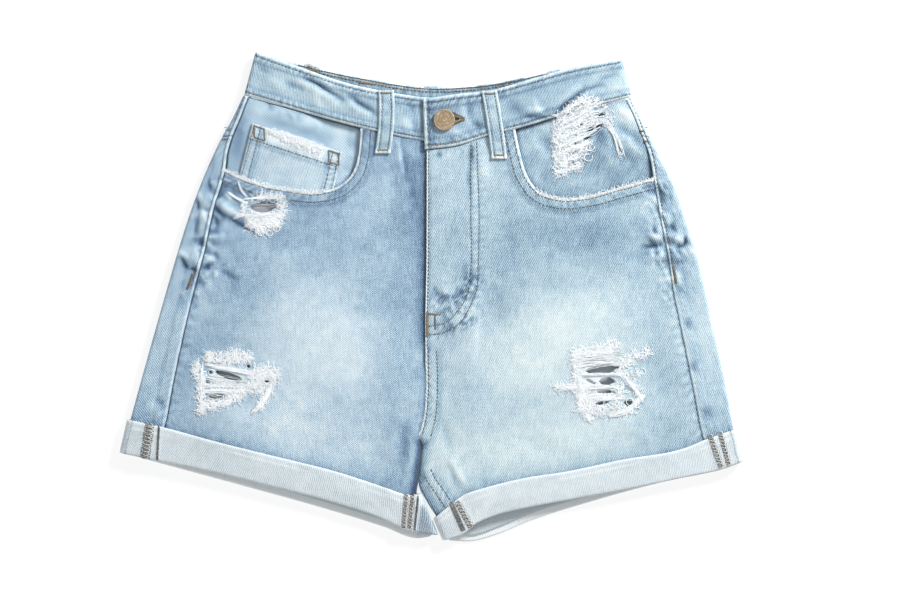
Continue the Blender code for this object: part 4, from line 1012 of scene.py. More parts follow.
def curl(points, direction):
    """Turn the inner edge of a leg towards the other layer, as a quarter round."""
    distance = np.linalg.norm(points[..., :2] - points[:, -1:, :2], axis=2)
    inside = np.clip(FOLD_RADIUS - distance, 0, FOLD_RADIUS)
    drop = FOLD_RADIUS - np.sqrt(FOLD_RADIUS**2 - inside**2)
    drop = np.minimum(drop, FOLD_RADIUS - LAP_GAP)
    points[..., 2] += direction * drop * ramp(points[..., 1], CROTCH_Y, CROTCH_Y - CROTCH_TURN)
    return points


def panel_shares(near, far):
    """Shares across a panel: close steps at the side seam and at the inner edge, wider between."""
    start = np.arange(0, 14, near)
    middle = np.linspace(14, PANEL_WIDTH - 6, int((PANEL_WIDTH - 20) / far))
    end = PANEL_WIDTH - np.array(CURL_STEPS)
    return np.concatenate((start, middle, end)) / PANEL_WIDTH


# Sideways shift of the lower layer between the legs, so that the floor does not shine through.
GAP_SHIFT = 1.2


def leg_inner(side):
    """The inner edge of a leg from the hem to the crotch."""
    return chain((LEG_INNER[side] + CENTRE_FRONT_SEAM[:1], LEG_ROWS * FINE)) + (SIGN[side] * SEAM_GAP, 0)


def front_inner(side):
    """The inner edge of a front from the hem to the waist."""
    seam = chain((CENTRE_FRONT_SEAM, SEAM_ROWS * FINE))[1:]
    if side == "right":
        step = (CENTRE_FRONT_SEAM[-1], FLY_EXTENSION[0])
        return np.vstack((leg_inner(side), seam - (SEAM_GAP / 2, 0), chain((step, FINE))[1:-1],
                          chain((FLY_EXTENSION, FLY_ROWS * FINE))))
    edge = chain((FLY_EDGE, (FLY_ROWS + 1) * FINE))[1:]
    return np.vstack((leg_inner(side), np.vstack((seam, edge)) + (SEAM_GAP / 2, 0)))


def seam_line(side):
    return dense([row[2:] for row in SIDE_ROWS[side]])


# Where the lower fly is crackled: x, y, half width, half height, turn, amount.
FLY_CRACKLE = ((13, -4, 15, 11, 0, 1), (34, 10, 9, 13, 0, 1), (24, -22, 16, 8, 20, 1))


def front_form(side, x, y):
    """Height over the CAD level, wash and wear of a front panel."""
    right = side == "right"
    base, marks = TONES["front_" + side]
    ground, holes = rip_marks(x, y, "front_" + side)
    height = np.zeros_like(x)
    wash = base + spots(x, y, marks) + mottle(x, y, 41 if right else 51)
    worn = ground
    for table in (SIDE_CREASES, FRONT_CREASES):
        rise, shade = creases(x, y, table)
        height, wash = height + rise, wash + shade
    d, s = away(x, y, seam_line(side))
    d = np.abs(d)
    rise, shade = crumple(x, y, d)
    height = height + rise - 0.3 * np.exp(-d / 1.6)
    wash += shade
    # Painted shade in the groove on the front side of the side seam.
    wash = wash - 0.46 * bump(d, 0.1, 1.2) + 0.08 * bump(d, 4, 5) * puckers(s, d, 1.3, 7, 8)
    d = signed(x, y, scoop_ring(side))
    s = away(x, y, fine(SCOOP[side]))[1]
    rise, shade, white = hem_form(d, s, MOUTH_ROWS, 9.8, 0.26)
    frayed = ramp(np.abs(x), 80, 100) * (0.75 + 0.5 * noise(s, d, 5, 33))
    frayed *= bump(d, 1, 1.7 + 0.6 * noise(s, d, 7, 34))
    height, wash, worn = height + rise, wash + shade, worn + white + 1.5 * frayed
    wash = wash + 0.30 * bump(d, 0.7, 0.9) - 0.12 * bump(d, 5.4, 1.6) * (1 + noise(s, d, 5, 35))
    waist = dense(WAIST_FRONT["right"] + (WAIST_UNDERLAP,)) if right else dense(WAIST_FRONT["left"])
    d, s = away(x, y, waist)
    d = np.abs(d)
    # Painted shadow of the waistband along the waist seam.
    wash = wash - 0.20 * bump(d, 0.2, 1.7) + 0.05 * bump(d, 5, 4) * puckers(s, d, 0.9, 8)
    wash -= cuff_shade(x, y, side)
    if right:
        # Painted shadow of the fly's raised edge, and painted shade along the centre seam where the left
        # front laps over.
        d = np.abs(away(x, y, fine(FLY_EDGE + ((-4.2, 132),)))[0])
        wash -= (0.24 * bump(d, 0.6, 2.8) + 0.20 * bump(d, 2, 8)) * ramp(y, -52, -30)
        d = np.abs(away(x, y, fine(CENTRE_FRONT_SEAM))[0])
        wash -= 0.24 * bump(d, 0.2, 1.6)
        height *= 1 - ramp(x, -10, -6) * ramp(y, -60, -50)
    else:
        d, s = away(x, y, fine(FLY_EDGE))
        d = np.abs(d)
        wash += (0.26 * bump(d, 0.7, 1.1) - 0.16 * bump(d, 3, 1.3)) * ramp(y, -60, -40)
        worn += 0.3 * bump(d, 0.7, 1) * ramp(y, -60, -40)
        d, s = away(x, y, fine(CENTRE_FRONT_SEAM))
        rise, shade, white = hem_form(np.abs(d), s, CENTRE_ROWS, 10.6, 0.20)
        low = 1 - ramp(y, -52, -36)
        height, wash, worn = height + rise * low, wash + shade * low, worn + white * low
        cracks = crackle(x, y, 23) * np.clip(spots(x, y, FLY_CRACKLE), 0, 1)
        height, wash = height + 0.25 * cracks, wash + 0.30 * cracks
        for line in (J_INNER, J_OUTER):
            d, s = away(x, y, fine(line))
            height -= 0.38 * bump(d, 0, 0.9)
            # Painted shade in the groove of each J stitch.
            wash = wash - 0.14 * bump(d, 0, 1) + 0.09 * bump(d, 3, 2.5) * puckers(s, d, 0.95, 9, 7, 2)
        d, s = away(x, y, fine(INSEAM))
        rise, shade, _ = hem_form(np.where(d > 0, d, -1), s, INSEAM_ROWS, 9.6, 0.20)
        near = ramp(y, -140, -150)
        height, wash = height + rise * near, wash + shade * near
        # Painted shade in the groove beside the inseam.
        wash -= near * (0.22 * bump(d, -0.6, 1) + 0.03 * ramp(-d, 0, 2) * (d > -20))
    return height * bare(x, y, side), wash + 0.3 * ground, np.clip(worn, 0, 1), holes


def front(side, material):
    right, sign, table, hem = side == "right", SIGN[side], SIDE_ROWS[side], HEM_FRONT[side]
    if right:
        waist = dense(WAIST_FRONT["right"] + (WAIST_UNDERLAP,))
        waist = tuple(p for p in waist if p[0] < FLY_EXTENSION[-1][0])
    else:
        waist = dense(WAIST_FRONT["left"])
    inner = front_inner(side)
    seam = tuple((row[2] - sign * SEAM_GAP, row[3]) for row in table)
    lower = (seam[0],) + hem[1:-1] + (tuple(inner[0]),)
    upper = (seam[-1],) + shifted(waist[1:-1], dy=-SEAM_GAP) + (tuple(inner[-1]),)
    start = smooth(seam, even(len(inner)))
    plan = patch(lower, upper, start, inner, panel_shares(1.2, 1.9))
    x, y = plan[..., 0], plan[..., 1]
    if right:
        level = FRONT_LEVEL + folds(x, y) - FLY_LIFT * fly_share(x, y, -18, -8)
    else:
        level = FRONT_LEVEL + folds(x, y) + FLY_LIFT * fly_share(x, y, 42, 34)
    points = curl(np.dstack((x, y, level)), -1)
    height, wash, worn, holes = front_form(side, x, y)
    from_edge = np.linalg.norm(plan - plan[:, -1:], axis=2)
    calm = 1 - (1 - ramp(from_edge, 0, 9)) * ramp(y, CROTCH_Y, CROTCH_Y - 8)
    z = points[..., 2] + (swell(x, y) + height) * calm
    # Painted shade where the inner edge turns down into the gap between the legs.
    wash -= (0.60 if right else 0.34) * (1 - calm)**1.5
    u, v = grained(x, y, GRAINS[side])
    edge = signed(x, y, scoop_ring(side))
    return cloth_piece("front_" + side, material, table_of(x, y, z, u, v, wash, worn, DENIM), x.shape,
                       np.minimum(edge, holes))


def strip_form(side, x, y, tone_key):
    """Height, wash and wear of the back panel's strip on top, beside the side seam."""
    base, marks = TONES[tone_key]
    wash = base + spots(x, y, marks) + mottle(x, y, 61)
    rise, shade = creases(x, y, SIDE_CREASES)
    d, s = away(x, y, seam_line(side), 50)
    d = np.abs(d)
    stitched = ramp(y, SIDE_STITCH_END[side] - 6, SIDE_STITCH_END[side])
    hem, tone, white = hem_form(d, s, (), 8.5, 0.24)
    pucker, dark = crumple(x, y, d)
    rise, wash = rise + pucker, wash + dark
    # A worn pale ridge beside the seam, with painted shade right at the seam and in the groove of its
    # stitches.
    tone = 0.5 * tone + 0.14 * bump(d, 1.3, 0.8) - 0.16 * bump(d, 0, 0.6)
    hem -= 0.3 * bump(d, STRIP_ROW, 0.9) * stitched
    wash = wash + shade + tone - 0.14 * bump(d, 2.8, 1) * stitched
    wash -= cuff_shade(x, y, side)
    return (rise + hem) * bare(x, y, side), wash, white


def over_the_side(rows, plan, strip, turn):
    """Join a strip on top, a half-round turn and the lower layer into one grid of points."""
    outline, seam = rows[:, :2], rows[:, 2:]
    inward = (seam - outline) / np.linalg.norm(seam - outline, axis=1, keepdims=True)
    centre = outline + inward * (FOLD_RADIUS + DENIM / 2)
    middle = (FRONT_LEVEL + BACK_LEVEL) / 2
    columns = []
    for share in even(strip):
        at = seam + (centre - seam) * share
        columns.append(np.column_stack((at, FRONT_LEVEL + folds(at[:, 0], at[:, 1]))))
    crest = columns[-1][:, 2] - middle
    for angle in np.linspace(0, math.pi, turn + 2)[1:-1]:
        at = centre - inward * FOLD_RADIUS * math.sin(angle)
        reach = crest if angle < math.pi / 2 else np.full(len(at), FOLD_RADIUS)
        columns.append(np.column_stack((at, middle + reach * math.cos(angle))))
    columns += [np.column_stack((plan[:, c], np.full(len(plan), BACK_LEVEL))) for c in range(plan.shape[1])]
    return np.stack(columns, axis=1)


def lower_layer(rows, lower, upper, inner, across):
    """Planform of the lower layer, from the turn at the side to its inner edge."""
    outline, seam = rows[:, :2], rows[:, 2:]
    inward = (seam - outline) / np.linalg.norm(seam - outline, axis=1, keepdims=True)
    start = outline + inward * (FOLD_RADIUS + DENIM / 2)
    lower = (tuple(start[0]),) + lower[1:-1] + (tuple(inner[0]),)
    upper = (tuple(start[-1]),) + upper[1:-1] + (tuple(inner[-1]),)
    return patch(lower, upper, start, inner, across)


def pocket_outline(side):
    """The five-sided outline of a back pocket."""
    half = BACK_POCKET_WIDTH / 2
    shape = ((-half, 0), (half, 0), (half - BACK_POCKET_TAPER, -BACK_POCKET_SIDE),
             (0, -BACK_POCKET_SIDE - BACK_POCKET_POINT), (-half + BACK_POCKET_TAPER, -BACK_POCKET_SIDE))
    x, y, angle = BACK_POCKET_CENTRES[side]
    return [turned(px, py, (x, y), angle) for px, py in shape]


def turned(x, y, centre, angle):
    """x, y turned anticlockwise and moved to a centre."""
    c, s = math.cos(math.radians(angle)), math.sin(math.radians(angle))
    return centre[0] + c * x - s * y, centre[1] + s * x + c * y


def under_form(side, x, y, tone_key):
    """How far the underside stands down between the pieces that bear on the surface, and its wash."""
    base, marks = TONES[tone_key]
    drop, shade = creases(x, y, UNDER_CREASES)
    clear = ramp(signed(x, y, pocket_outline(side), 30), 2, 12)
    clear *= ramp(np.abs(above_cuff(x, y, side, CUFF_BACK, 40)), 2, 12)
    for lx, ly, angle in BACK_LOOPS.values():
        ends = [turned(0, dy, (lx, ly), angle) for dy in (-BACK_LOOP_LENGTH / 2, BACK_LOOP_LENGTH / 2)]
        clear *= ramp(np.abs(away(x, y, ends, 20)[0]), 8, 16)
    wave = 0.3 + 0.3 * noise(x, y, 30, 71)
    wash = base + spots(x, y, marks) + mottle(x, y, 72) + shade
    return (drop + wave) * clear, wash


def back_table(side, points, first, tone_key, curled=None):
    """The values of a back panel or yoke: relief on its strip on top and on its underside."""
    x, y, z = points[..., 0], points[..., 1], points[..., 2].copy()
    middle = (FRONT_LEVEL + BACK_LEVEL) / 2
    top = np.clip((z - middle) / (FRONT_LEVEL - middle), 0, 1)
    top[:, first:] = 0
    low = np.clip((middle - z) / (middle - BACK_LEVEL), 0, 1)
    if curled is not None:
        low *= 1 - curled
    height, wash, worn = strip_form(side, x, y, tone_key)
    drop, under_wash = under_form(side, x, y, tone_key)
    z = z + top * (swell(x, y) + height) - low * drop
    blend = ramp(top, 0, 0.5)
    wash = wash * blend + under_wash * (1 - blend)
    steps = np.hypot(np.diff(x, axis=1), np.diff(z, axis=1))
    run = np.concatenate((np.zeros((len(x), 1)), np.cumsum(steps, axis=1)), axis=1)
    u, v = grained(run, y, -GRAINS[side])
    return table_of(x, y, z, u, v, wash, worn * blend, DENIM)


def back(side, material):
    centre = chain((CENTRE_BACK, BACK_ROWS * FINE))[1:]
    centre[-1, 1] -= SEAM_GAP
    leg = leg_inner(side)
    leg[:, 0] += GAP_SHIFT * ramp(leg[:, 1], CROTCH_Y - 3, CROTCH_Y - 11) * ramp(leg[:, 1], -166, -154)
    inner = np.vstack((leg, centre + (SIGN[side] * SEAM_GAP / 2, 0)))
    rows = smooth(dense(SIDE_ROWS[side])[:STEPS * YOKE_ROW + 1], even(len(inner)))
    rows[-1, 1::2] -= SEAM_GAP
    curl_shares = 1 - np.array(CURL_STEPS) / PANEL_WIDTH
    across = np.concatenate((np.linspace(0, 1 - 7 / PANEL_WIDTH, 44), curl_shares))
    plan = lower_layer(rows, HEM_BACK[side], shifted(dense(YOKE_SEAM[side]), dy=-SEAM_GAP), inner, across)
    points = over_the_side(rows, plan, 20, 9)
    first = points.shape[1] - plan.shape[1]
    points[:, first:] = curl(points[:, first:], 1)
    curled = np.zeros(points.shape[:2])
    near = np.linalg.norm(plan - plan[:, -1:], axis=2)
    curled[:, first:] = (1 - ramp(near, 4, 14)) * ramp(plan[..., 1], CROTCH_Y + 10, CROTCH_Y)
    data = back_table(side, points, first, "back_" + side, curled)
    return cloth_piece("back_" + side, material, data, points.shape[:2])


def yoke(side, material):
    sign, seam = SIGN[side], YOKE_SEAM[side]
    middle = STEPS * WAIST_BACK_MIDDLE
    waist = dense(WAIST_BACK)[:middle + 1] if side == "right" else dense(WAIST_BACK)[:middle - 1:-1]
    rows = smooth(dense(SIDE_ROWS[side])[STEPS * YOKE_ROW:], even(24))
    rows[-1, 1::2] -= SEAM_GAP
    centre = ((sign * SEAM_GAP / 2, seam[-1][1]), (sign * SEAM_GAP / 2, waist[-1][1] - SEAM_GAP))
    inner = smooth(centre, even(len(rows)))
    plan = lower_layer(rows, dense(seam), shifted(waist, dy=-SEAM_GAP), inner, even(70))
    points = over_the_side(rows, plan, 9, 9)
    data = back_table(side, points, points.shape[1] - plan.shape[1], "yoke_" + side)
    return cloth_piece("yoke_" + side, material, data, points.shape[:2])


# ---------------------------------------------------------------- bands that go round

def turn_points(end, inward, low, high, thickness, steps):
    """Middle points of a half-round turn at a flattened band's end, from high to low."""
    radius = (high - low) / 2
    centre = end + inward * (radius + thickness / 2)
    angle = np.linspace(0, math.pi, steps)
    at = centre - inward * radius * np.sin(angle)[:, None]
    return np.column_stack((at, (high + low) / 2 + radius * np.cos(angle)))


def trimmed(points, at_start, at_end):
    """The points of a line without those within a distance of its ends."""
    return np.array([p for p in points if np.linalg.norm(p - points[0]) > at_start
                     and np.linalg.norm(p - points[-1]) > at_end])


def inward_of(points, at_end):
    step = points[-16] - points[-1] if at_end else points[15] - points[0]
    return step / np.linalg.norm(step)


def flat_row(points, z):
    return np.column_stack((points, np.broadcast_to(z, len(points))))


def top_share(z, low, high):
    middle = (low + high) / 2
    return np.clip((z - middle) / (high - middle), 0, 1)


CUFF_HEIGHT = 27
CUFF_COLUMNS = (150, 11, 130, 11)


def cuff(side, material):
    """A turned-up cuff: the reverse of the cloth, in a ring pressed flat round the leg."""
    right = side == "right"
    low, high = CUFF_BACK_LEVEL, CUFF_FRONT_LEVEL
    reach = (high - low) / 2 + CUFF / 2 + 1
    front_rows, back_rows = (smooth(table[side], even(400)) for table in (CUFF_FRONT, CUFF_BACK))
    back_rows = back_rows[::-1]
    rows = []
    for k in even(19):
        face = front_rows[:, :2] * (1 - k) + front_rows[:, 2:] * k
        rear = back_rows[:, :2] * (1 - k) + back_rows[:, 2:] * k
        rows.append(np.vstack((
            flat_row(resampled(trimmed(face, reach, reach), CUFF_COLUMNS[0]), high),
            turn_points(face[-1], inward_of(face, True), low, high, CUFF, CUFF_COLUMNS[1]),
            flat_row(resampled(trimmed(rear, reach, reach), CUFF_COLUMNS[2]), low),
            turn_points(face[0], inward_of(face, False), low, high, CUFF, CUFF_COLUMNS[3])[::-1])))
    points = np.array(rows)
    x, y, z = points[..., 0], points[..., 1], points[..., 2]
    k = even(len(points))[:, None] * np.ones_like(x)
    mid = points[9]
    run = run_of(mid)[None] * np.ones_like(x)
    top = top_share(z, low, high)
    v = k * CUFF_HEIGHT
    ripple = 0.16 * noise(run, v, 12, 81) + 0.22 * noise(run, v * 0.4, 30, 82)
    crease = 0.30 * bump(v, 6.8 + 0.8 * noise(run, 0 * v, 40, 83), 1)
    crease *= ramp(noise(run, 0 * v, 60, 84), -0.5, 0.3)
    blocks = np.zeros_like(x)
    for x0, y0, x1, y1, width, _ in OVERLOCKS[side]:
        gap = np.abs(away(x, y, ((x0, y0), (x1, y1)), 20)[0])
        blocks = np.maximum(blocks, 1 - ramp(gap, width / 2, width / 2 + 2))
    form = swell(x, y) + ripple + crease + 0.45 * blocks
    form = form - 0.5 * bump(v, CUFF_HEIGHT, 1.4) - 0.25 * bump(v, 0, 0.9)
    rise = np.maximum(z, 0) + top * form
    base, reverse = (0.60, 0.42) if right else (0.63, 0.46)
    wash = base + mottle(run, v, 85) + 0.05 * noise(run, 0.5 * v, 16, 86) + 0.20 * bump(v, 0.6, 1.2)
    wash = wash + 0.75 * crease + 0.10 * bump(v, 25.5, 1.6) - 0.12 * bump(v, 9, 2) * (crease > 0.1)
    # The lower layer gets painted light that lifts the shadow the upper layer casts on it.
    wash = wash + reverse * (1 - top) + 0.05 * ripple
    # Painted shade on the right cuff's inner end, which lies lower where the ring turns down.
    if right:
        wash -= 0.34 * ramp(x + 8 - 0.16 * (y + 165), 0, 2)
    thick = CUFF - 0.5 * bump(v, 0, 0.8) - 0.5 * bump(v, CUFF_HEIGHT, 1)
    data = table_of(x, y, rise, run, v, wash, 0.3 * bump(v, 0.3, 0.8), thick)
    data[:, Z] = np.maximum(data[:, Z], data[:, THICK] / 2 + 0.02)
    return cloth_piece("cuff_" + side, material, data, x.shape, closed=True)


BAND_HEIGHT = 41
BAND_COLUMNS = (116, 11, 150, 11, 116)
BAND_ROWS = (2.6, 37.2)
BUTTON_SEAT = 10.5
BUTTONHOLE_END = ((24.6, 148.4), (24.6, 149.6))


def waistband(material):
    """The waistband: left front end, round the left side, the back, the right side, right end."""
    low, high = BAND_BACK_LEVEL, BAND_FRONT_LEVEL
    reach = (high - low) / 2 + BAND / 2 + 1
    share = even(400)
    tables = ((WAIST_FRONT["left"][::-1], TOP_FRONT["left"][::-1]), (WAIST_BACK[::-1], TOP_BACK[::-1]),
              (WAIST_FRONT["right"] + (WAIST_UNDERLAP,), TOP_FRONT["right"] + (TOP_UNDERLAP,)))
    rows = []
    for k in even(28):
        left, rear, right = (smooth(seam, share) * (1 - k) + smooth(top, share) * k for seam, top in tables)
        rear[:, 1] += 0.9 * noise(rear[:, 0], 0 * rear[:, 0], 4.5, 92) * k**8
        face = resampled(trimmed(left, -1, reach), BAND_COLUMNS[0])
        end = resampled(trimmed(right, reach, -1), BAND_COLUMNS[4])
        rows.append(np.vstack((
            flat_row(face, high + BAND_OVERLAP_LIFT * ramp(face[:, 0], 40, 26)),
            turn_points(left[-1], inward_of(left, True), low, high, BAND, BAND_COLUMNS[1]),
            flat_row(resampled(trimmed(rear, reach, reach), BAND_COLUMNS[2]), low),
            turn_points(right[0], inward_of(right, False), low, high, BAND, BAND_COLUMNS[3])[::-1],
            flat_row(end, high - BAND_UNDERLAP_DROP * ramp(end[:, 0], -22, -10)))))
    points = np.array(rows)
    x, y, z = points[..., 0], points[..., 1], points[..., 2]
    k = even(len(points))[:, None] * np.ones_like(x)
    mid = points[14]
    run = run_of(mid)[None] * np.ones_like(x)
    v = k * BAND_HEIGHT
    top = top_share(z, low, high)
    base, marks = TONES["waistband"]
    ground, _ = rip_marks(x, y, "waistband")
    wash = base + spots(x, y, marks) * top + mottle(run, v, 91)
    rise, shade = creases(x, y, BAND_CREASES)
    height, wash = rise * top, wash + shade * top
    lower, lower_tone, white = hem_form(v, run, (2.6,), 6, 0.24)
    upper, upper_tone, top_white = hem_form(BAND_HEIGHT - v, run, (3.4,), 7, 0.24)
    wash = wash + lower_tone + upper_tone
    # Pale worn edges along the top and the seam, with painted shade in the groove of the stitches beside
    # them; the same at the band's overlapping end.
    for gap in (v, BAND_HEIGHT - v):
        wash += (0.26 * bump(gap, 0.8, 0.8) - 0.16 * bump(gap, 2.8, 0.9)) * top
    wash += (0.32 * bump(run, 1.3, 1.4) - 0.22 * bump(run, 4, 0.9)) * top
    height = height + lower + upper
    end, end_tone, end_white = hem_form(run, v, (3.9,), 5.5, 0.26)
    wash += end_tone
    height += 0.7 * end
    worn = np.clip(white + top_white + end_white + ground, 0, 1)
    hidden = ramp(x, -9, -5) * (run > run.max() / 2) * top
    free = (1 - hidden) * np.minimum(bare(x, y, "right"), 1)
    ring = [(BUTTON_X + BUTTON_SEAT * math.cos(a), BUTTON_Y + BUTTON_SEAT * math.sin(a))
            for a in np.linspace(0, 6, 20)]
    free *= ramp(signed(x, y, ring), -2, 2)
    z += top * (swell(x, y) + height * free)
    # On the lower layer: painted shade inside the waist, painted light and shade for the gathers at the
    # middle, and a painted shadow along the top of the inside where the front overhangs it.
    inside = (1 - top) * (0.5 + 0.5 * noise(x, v, 6, 93))
    painted_pleat_shading = np.sin(x / 1.1 + 2 * noise(x, v, 7, 94)) * ramp(x, -34, -24) * ramp(x, 12, 4)
    wash = wash - 0.08 * (1 - top) + 0.13 * painted_pleat_shading * (1 - top)
    wash -= 0.9 * inside * bump(v, BAND_HEIGHT - 0.6, 1.9) * ramp(x, 28, 34) * ramp(x, 84, 74)
    thick = BAND - 0.5 * bump(v, 0, 0.8) - 0.5 * bump(v, BAND_HEIGHT, 0.9)
    data = table_of(x, y, z, run, v, wash + 0.5 * ground, worn, thick)
    slit = [(BUTTON_X, BUTTON_Y - 2.4), *BUTTONHOLE_END, (BUTTON_X, BUTTON_Y + 3.4)]
    keep = np.where((run < run.max() / 2) & (top > 0.5), signed(x, y, slit), FAR)
    return cloth_piece("waistband", material, data, x.shape, keep)


# ---------------------------------------------------------------- pockets, loops, closure

def facing_z(x, y, side):
    """Height of the middle of a pocket facing, with its creases where the mouth leaves it bare."""
    rise = ramp(y, *FACING_DIP_Y) * ramp(x, *FACING_DIP_X[side])
    flat = BAG_LEVEL + (FRONT_LEVEL - DENIM / 2 + POCKETING / 2 - BAG_LEVEL) * rise
    inside = ramp(-signed(x, y, scoop_ring(side), 40), 0, 6)
    return flat + swell(x, y) + creases(x, y, FACING_CREASES)[0] * inside


def facing(side, material):
    waist, hem, inner = WAIST_FRONT[side], FACING_HEM[side], FACING_INNER[side]
    seam = [(row[2] - SIGN[side] * 2 * SEAM_GAP, row[3]) for row in SIDE_ROWS[side]]
    edge = (hem[0],) + tuple(p for p in dense(seam) if p[1] > hem[0][1] + 3)
    reach = [p for p in dense(waist) if abs(p[0]) > abs(inner[-1][0])]
    upper = (edge[-1],) + shifted(reach[1:], dy=-2 * SEAM_GAP) + (inner[-1],)
    steps = even(52)
    plan = patch(dense(hem), upper, smooth(edge, steps), smooth(inner, steps), even(82))
    x, y = plan[..., 0], plan[..., 1]
    base, marks = TONES["pocket_facing_" + side]
    ground, holes = rip_marks(x, y, "pocket_facing_" + side)
    wash = base + spots(x, y, marks) + 1.7 * mottle(x, y, 101)
    wash = wash + creases(x, y, FACING_CREASES)[1] + 0.6 * ground
    d, s = away(x, y, dense(waist))
    # Painted shadow of the waistband along the waist seam.
    wash -= 0.20 * bump(np.abs(d), 0.6, 1.7)
    wash += 0.05 * bump(np.abs(d), 6, 4) * puckers(s, d, 0.9, 8)
    # Painted shade in the groove of the side seam.
    wash -= 0.26 * bump(away(x, y, seam_line(side))[0], 0, 1.6)
    # Painted shadow of the front's edge along the pocket mouth.
    d = signed(x, y, scoop_ring(side))
    wash -= 0.22 * bump(d, 0, 2.4)
    u, v = grained(x, y, GRAINS[side] + (14 if side == "right" else -10))
    data = table_of(x, y, facing_z(x, y, side), u, v, wash, ground, POCKETING)
    return cloth_piece("pocket_facing_" + side, material, data, x.shape, holes)


def pocket_bag(side, material):
    floor, brim = BAG_FLOOR[side], shifted(dense(FACING_HEM[side]), dy=-SEAM_GAP)
    steps = even(22)
    plan = patch(floor, brim, smooth((floor[0], brim[0]), steps), smooth((floor[-1], brim[-1]), steps),
                 even(44))
    x, y = plan[..., 0], plan[..., 1]
    z = BAG_LEVEL + 0.35 + 0.3 * noise(x, y, 14, 111)
    data = table_of(x, y, z, x, y, 0.5 + mottle(x, y, 112), 0, POCKETING)
    return cloth_piece("pocket_bag_" + side, material, data, x.shape)


COIN_ROWS, COIN_COLUMNS = 36, 52
COIN_HEM = 13


def coin_pocket(material):
    """The coin pocket, on the right facing's own surface, moved out."""
    top_outer, top_inner, low_inner, low_outer = COIN_CORNERS
    steps = even(COIN_ROWS)
    plan = patch((low_outer, low_inner), (top_outer, top_inner), smooth((low_outer, top_outer), steps),
                 smooth((low_inner, top_inner), steps), even(COIN_COLUMNS))
    x, y = plan[..., 0], plan[..., 1]
    edges = ((top_outer, top_inner), (low_outer, top_outer), (low_inner, top_inner))
    top_gap, outer_gap, inner_gap = (np.abs(away(x, y, edge, 60)[0]) for edge in edges)
    base, marks = TONES["coin_pocket"]
    wash = base + spots(x, y, marks) + mottle(x, y, 121)
    shown = ramp(-signed(x, y, scoop_ring("right"), 60), 0, 4)
    height = np.zeros_like(x)
    side_hem, top_hem = (COIN_SIDE_ROWS, 8.2, 0.24), ((COIN_HEM,), COIN_HEM + 1, 0.22)
    for gap, (lines, depth, white) in ((outer_gap, side_hem), (inner_gap, side_hem), (top_gap, top_hem)):
        rise, shade, _ = hem_form(gap, y + x, lines, depth, white)
        height, wash = height + 0.5 * rise, wash + shade
    fray = bump(top_gap, 4, 5) * ramp(x, -142, -134) * ramp(x, -86, -93)
    z = facing_z(x, y, "right") + POCKETING + COIN_GAP + height * shown
    u, v = grained(x, y, -16)
    worn = np.clip(1.3 * fray + 0.5 * bump(outer_gap, 0, 1), 0, 1)
    data = table_of(x, y, z, u, v, wash + 0.3 * fray, worn, POCKETING)
    return cloth_piece("coin_pocket", material, data, x.shape)


def back_pocket(side, material):
    """A five-sided patch pocket, pointed at the bottom, that the shorts rest on."""
    half = BACK_POCKET_WIDTH / 2
    s, t = np.meshgrid(np.linspace(-1, 1, 56), even(58))
    depth = BACK_POCKET_SIDE + BACK_POCKET_POINT * (1 - np.abs(s))
    px, py = s * (half - BACK_POCKET_TAPER * t), -t * depth
    cx, cy, angle = BACK_POCKET_CENTRES[side]
    x, y = turned(px, py, (cx, cy), angle)
    base, marks = TONES["back_pocket"]
    wash = base + spots(x, y, marks) + mottle(x, y, 131)
    low = np.minimum(half - BACK_POCKET_TAPER * t - np.abs(px), (1 - t) * depth * 0.94)
    for gap, lines, deep in ((low, PATCH_ROWS, 9), (-py, (14,), 15)):
        wash += hem_form(gap, px + py, lines, deep, 0.22)[1]
    worn = 0.8 * bump(np.minimum(low, -py), 0.3, 1.2)
    thick = PATCH - 0.2 - 0.7 * bump(np.minimum(low, -py), 0, 1)
    data = table_of(x, y, PATCH / 2, px, py, wash, worn, thick)
    return cloth_piece("back_pocket_" + side, material, data, x.shape, face_up=False)


def loop_table(centre, across, z, along, seed):
    """The values of a belt loop from the grid of its points."""
    edge = LOOP_WIDTH / 2 - np.abs(across)
    place = (along, across)
    height = 0.34 * bump(edge, 1, 1.2) - 0.35 * bump(edge, 2.6, 0.7) + 0.16 * noise(*place, 5, seed)
    # Pale worn edges, with painted shade in the groove of the stitches inside them.
    wash = TONES["belt_loop"][0] + 0.18 * bump(edge, 0.8, 1) - 0.16 * bump(edge, 2.9, 1)
    wash += 0.10 * noise(*place, 9, seed + 2)
    wash += 0.08 * crackle(*place, seed + 3) * (noise(*place, 12, seed) > 0)
    wash = wash + mottle(*place, seed) + 0.05 * noise(*place, 6, seed + 1)
    return table_of(centre[..., 0], centre[..., 1], z + height, across, along, wash,
                    0.25 * bump(edge, 0.2, 0.8), LOOP - 0.4 * bump(edge, 0, 0.8))


def loop_line(side, share, across=0):
    """Points along a front belt loop, from its bottom end up; the right one leans out at the bottom."""
    top, bottom = (np.array(p) for p in FRONT_LOOPS[side])
    line = bottom + (top - bottom) * np.asarray(share)[..., None]
    line[..., 0] += across + (1.8 if side == "right" else 0.5) * np.sin(math.pi * np.asarray(share))
    return line


def loop_grid(lengthwise):
    """Shares along a belt loop and distances across it, as a grid."""
    return np.meshgrid(lengthwise, np.linspace(-0.5, 0.5, 15) * LOOP_WIDTH, indexing="ij")


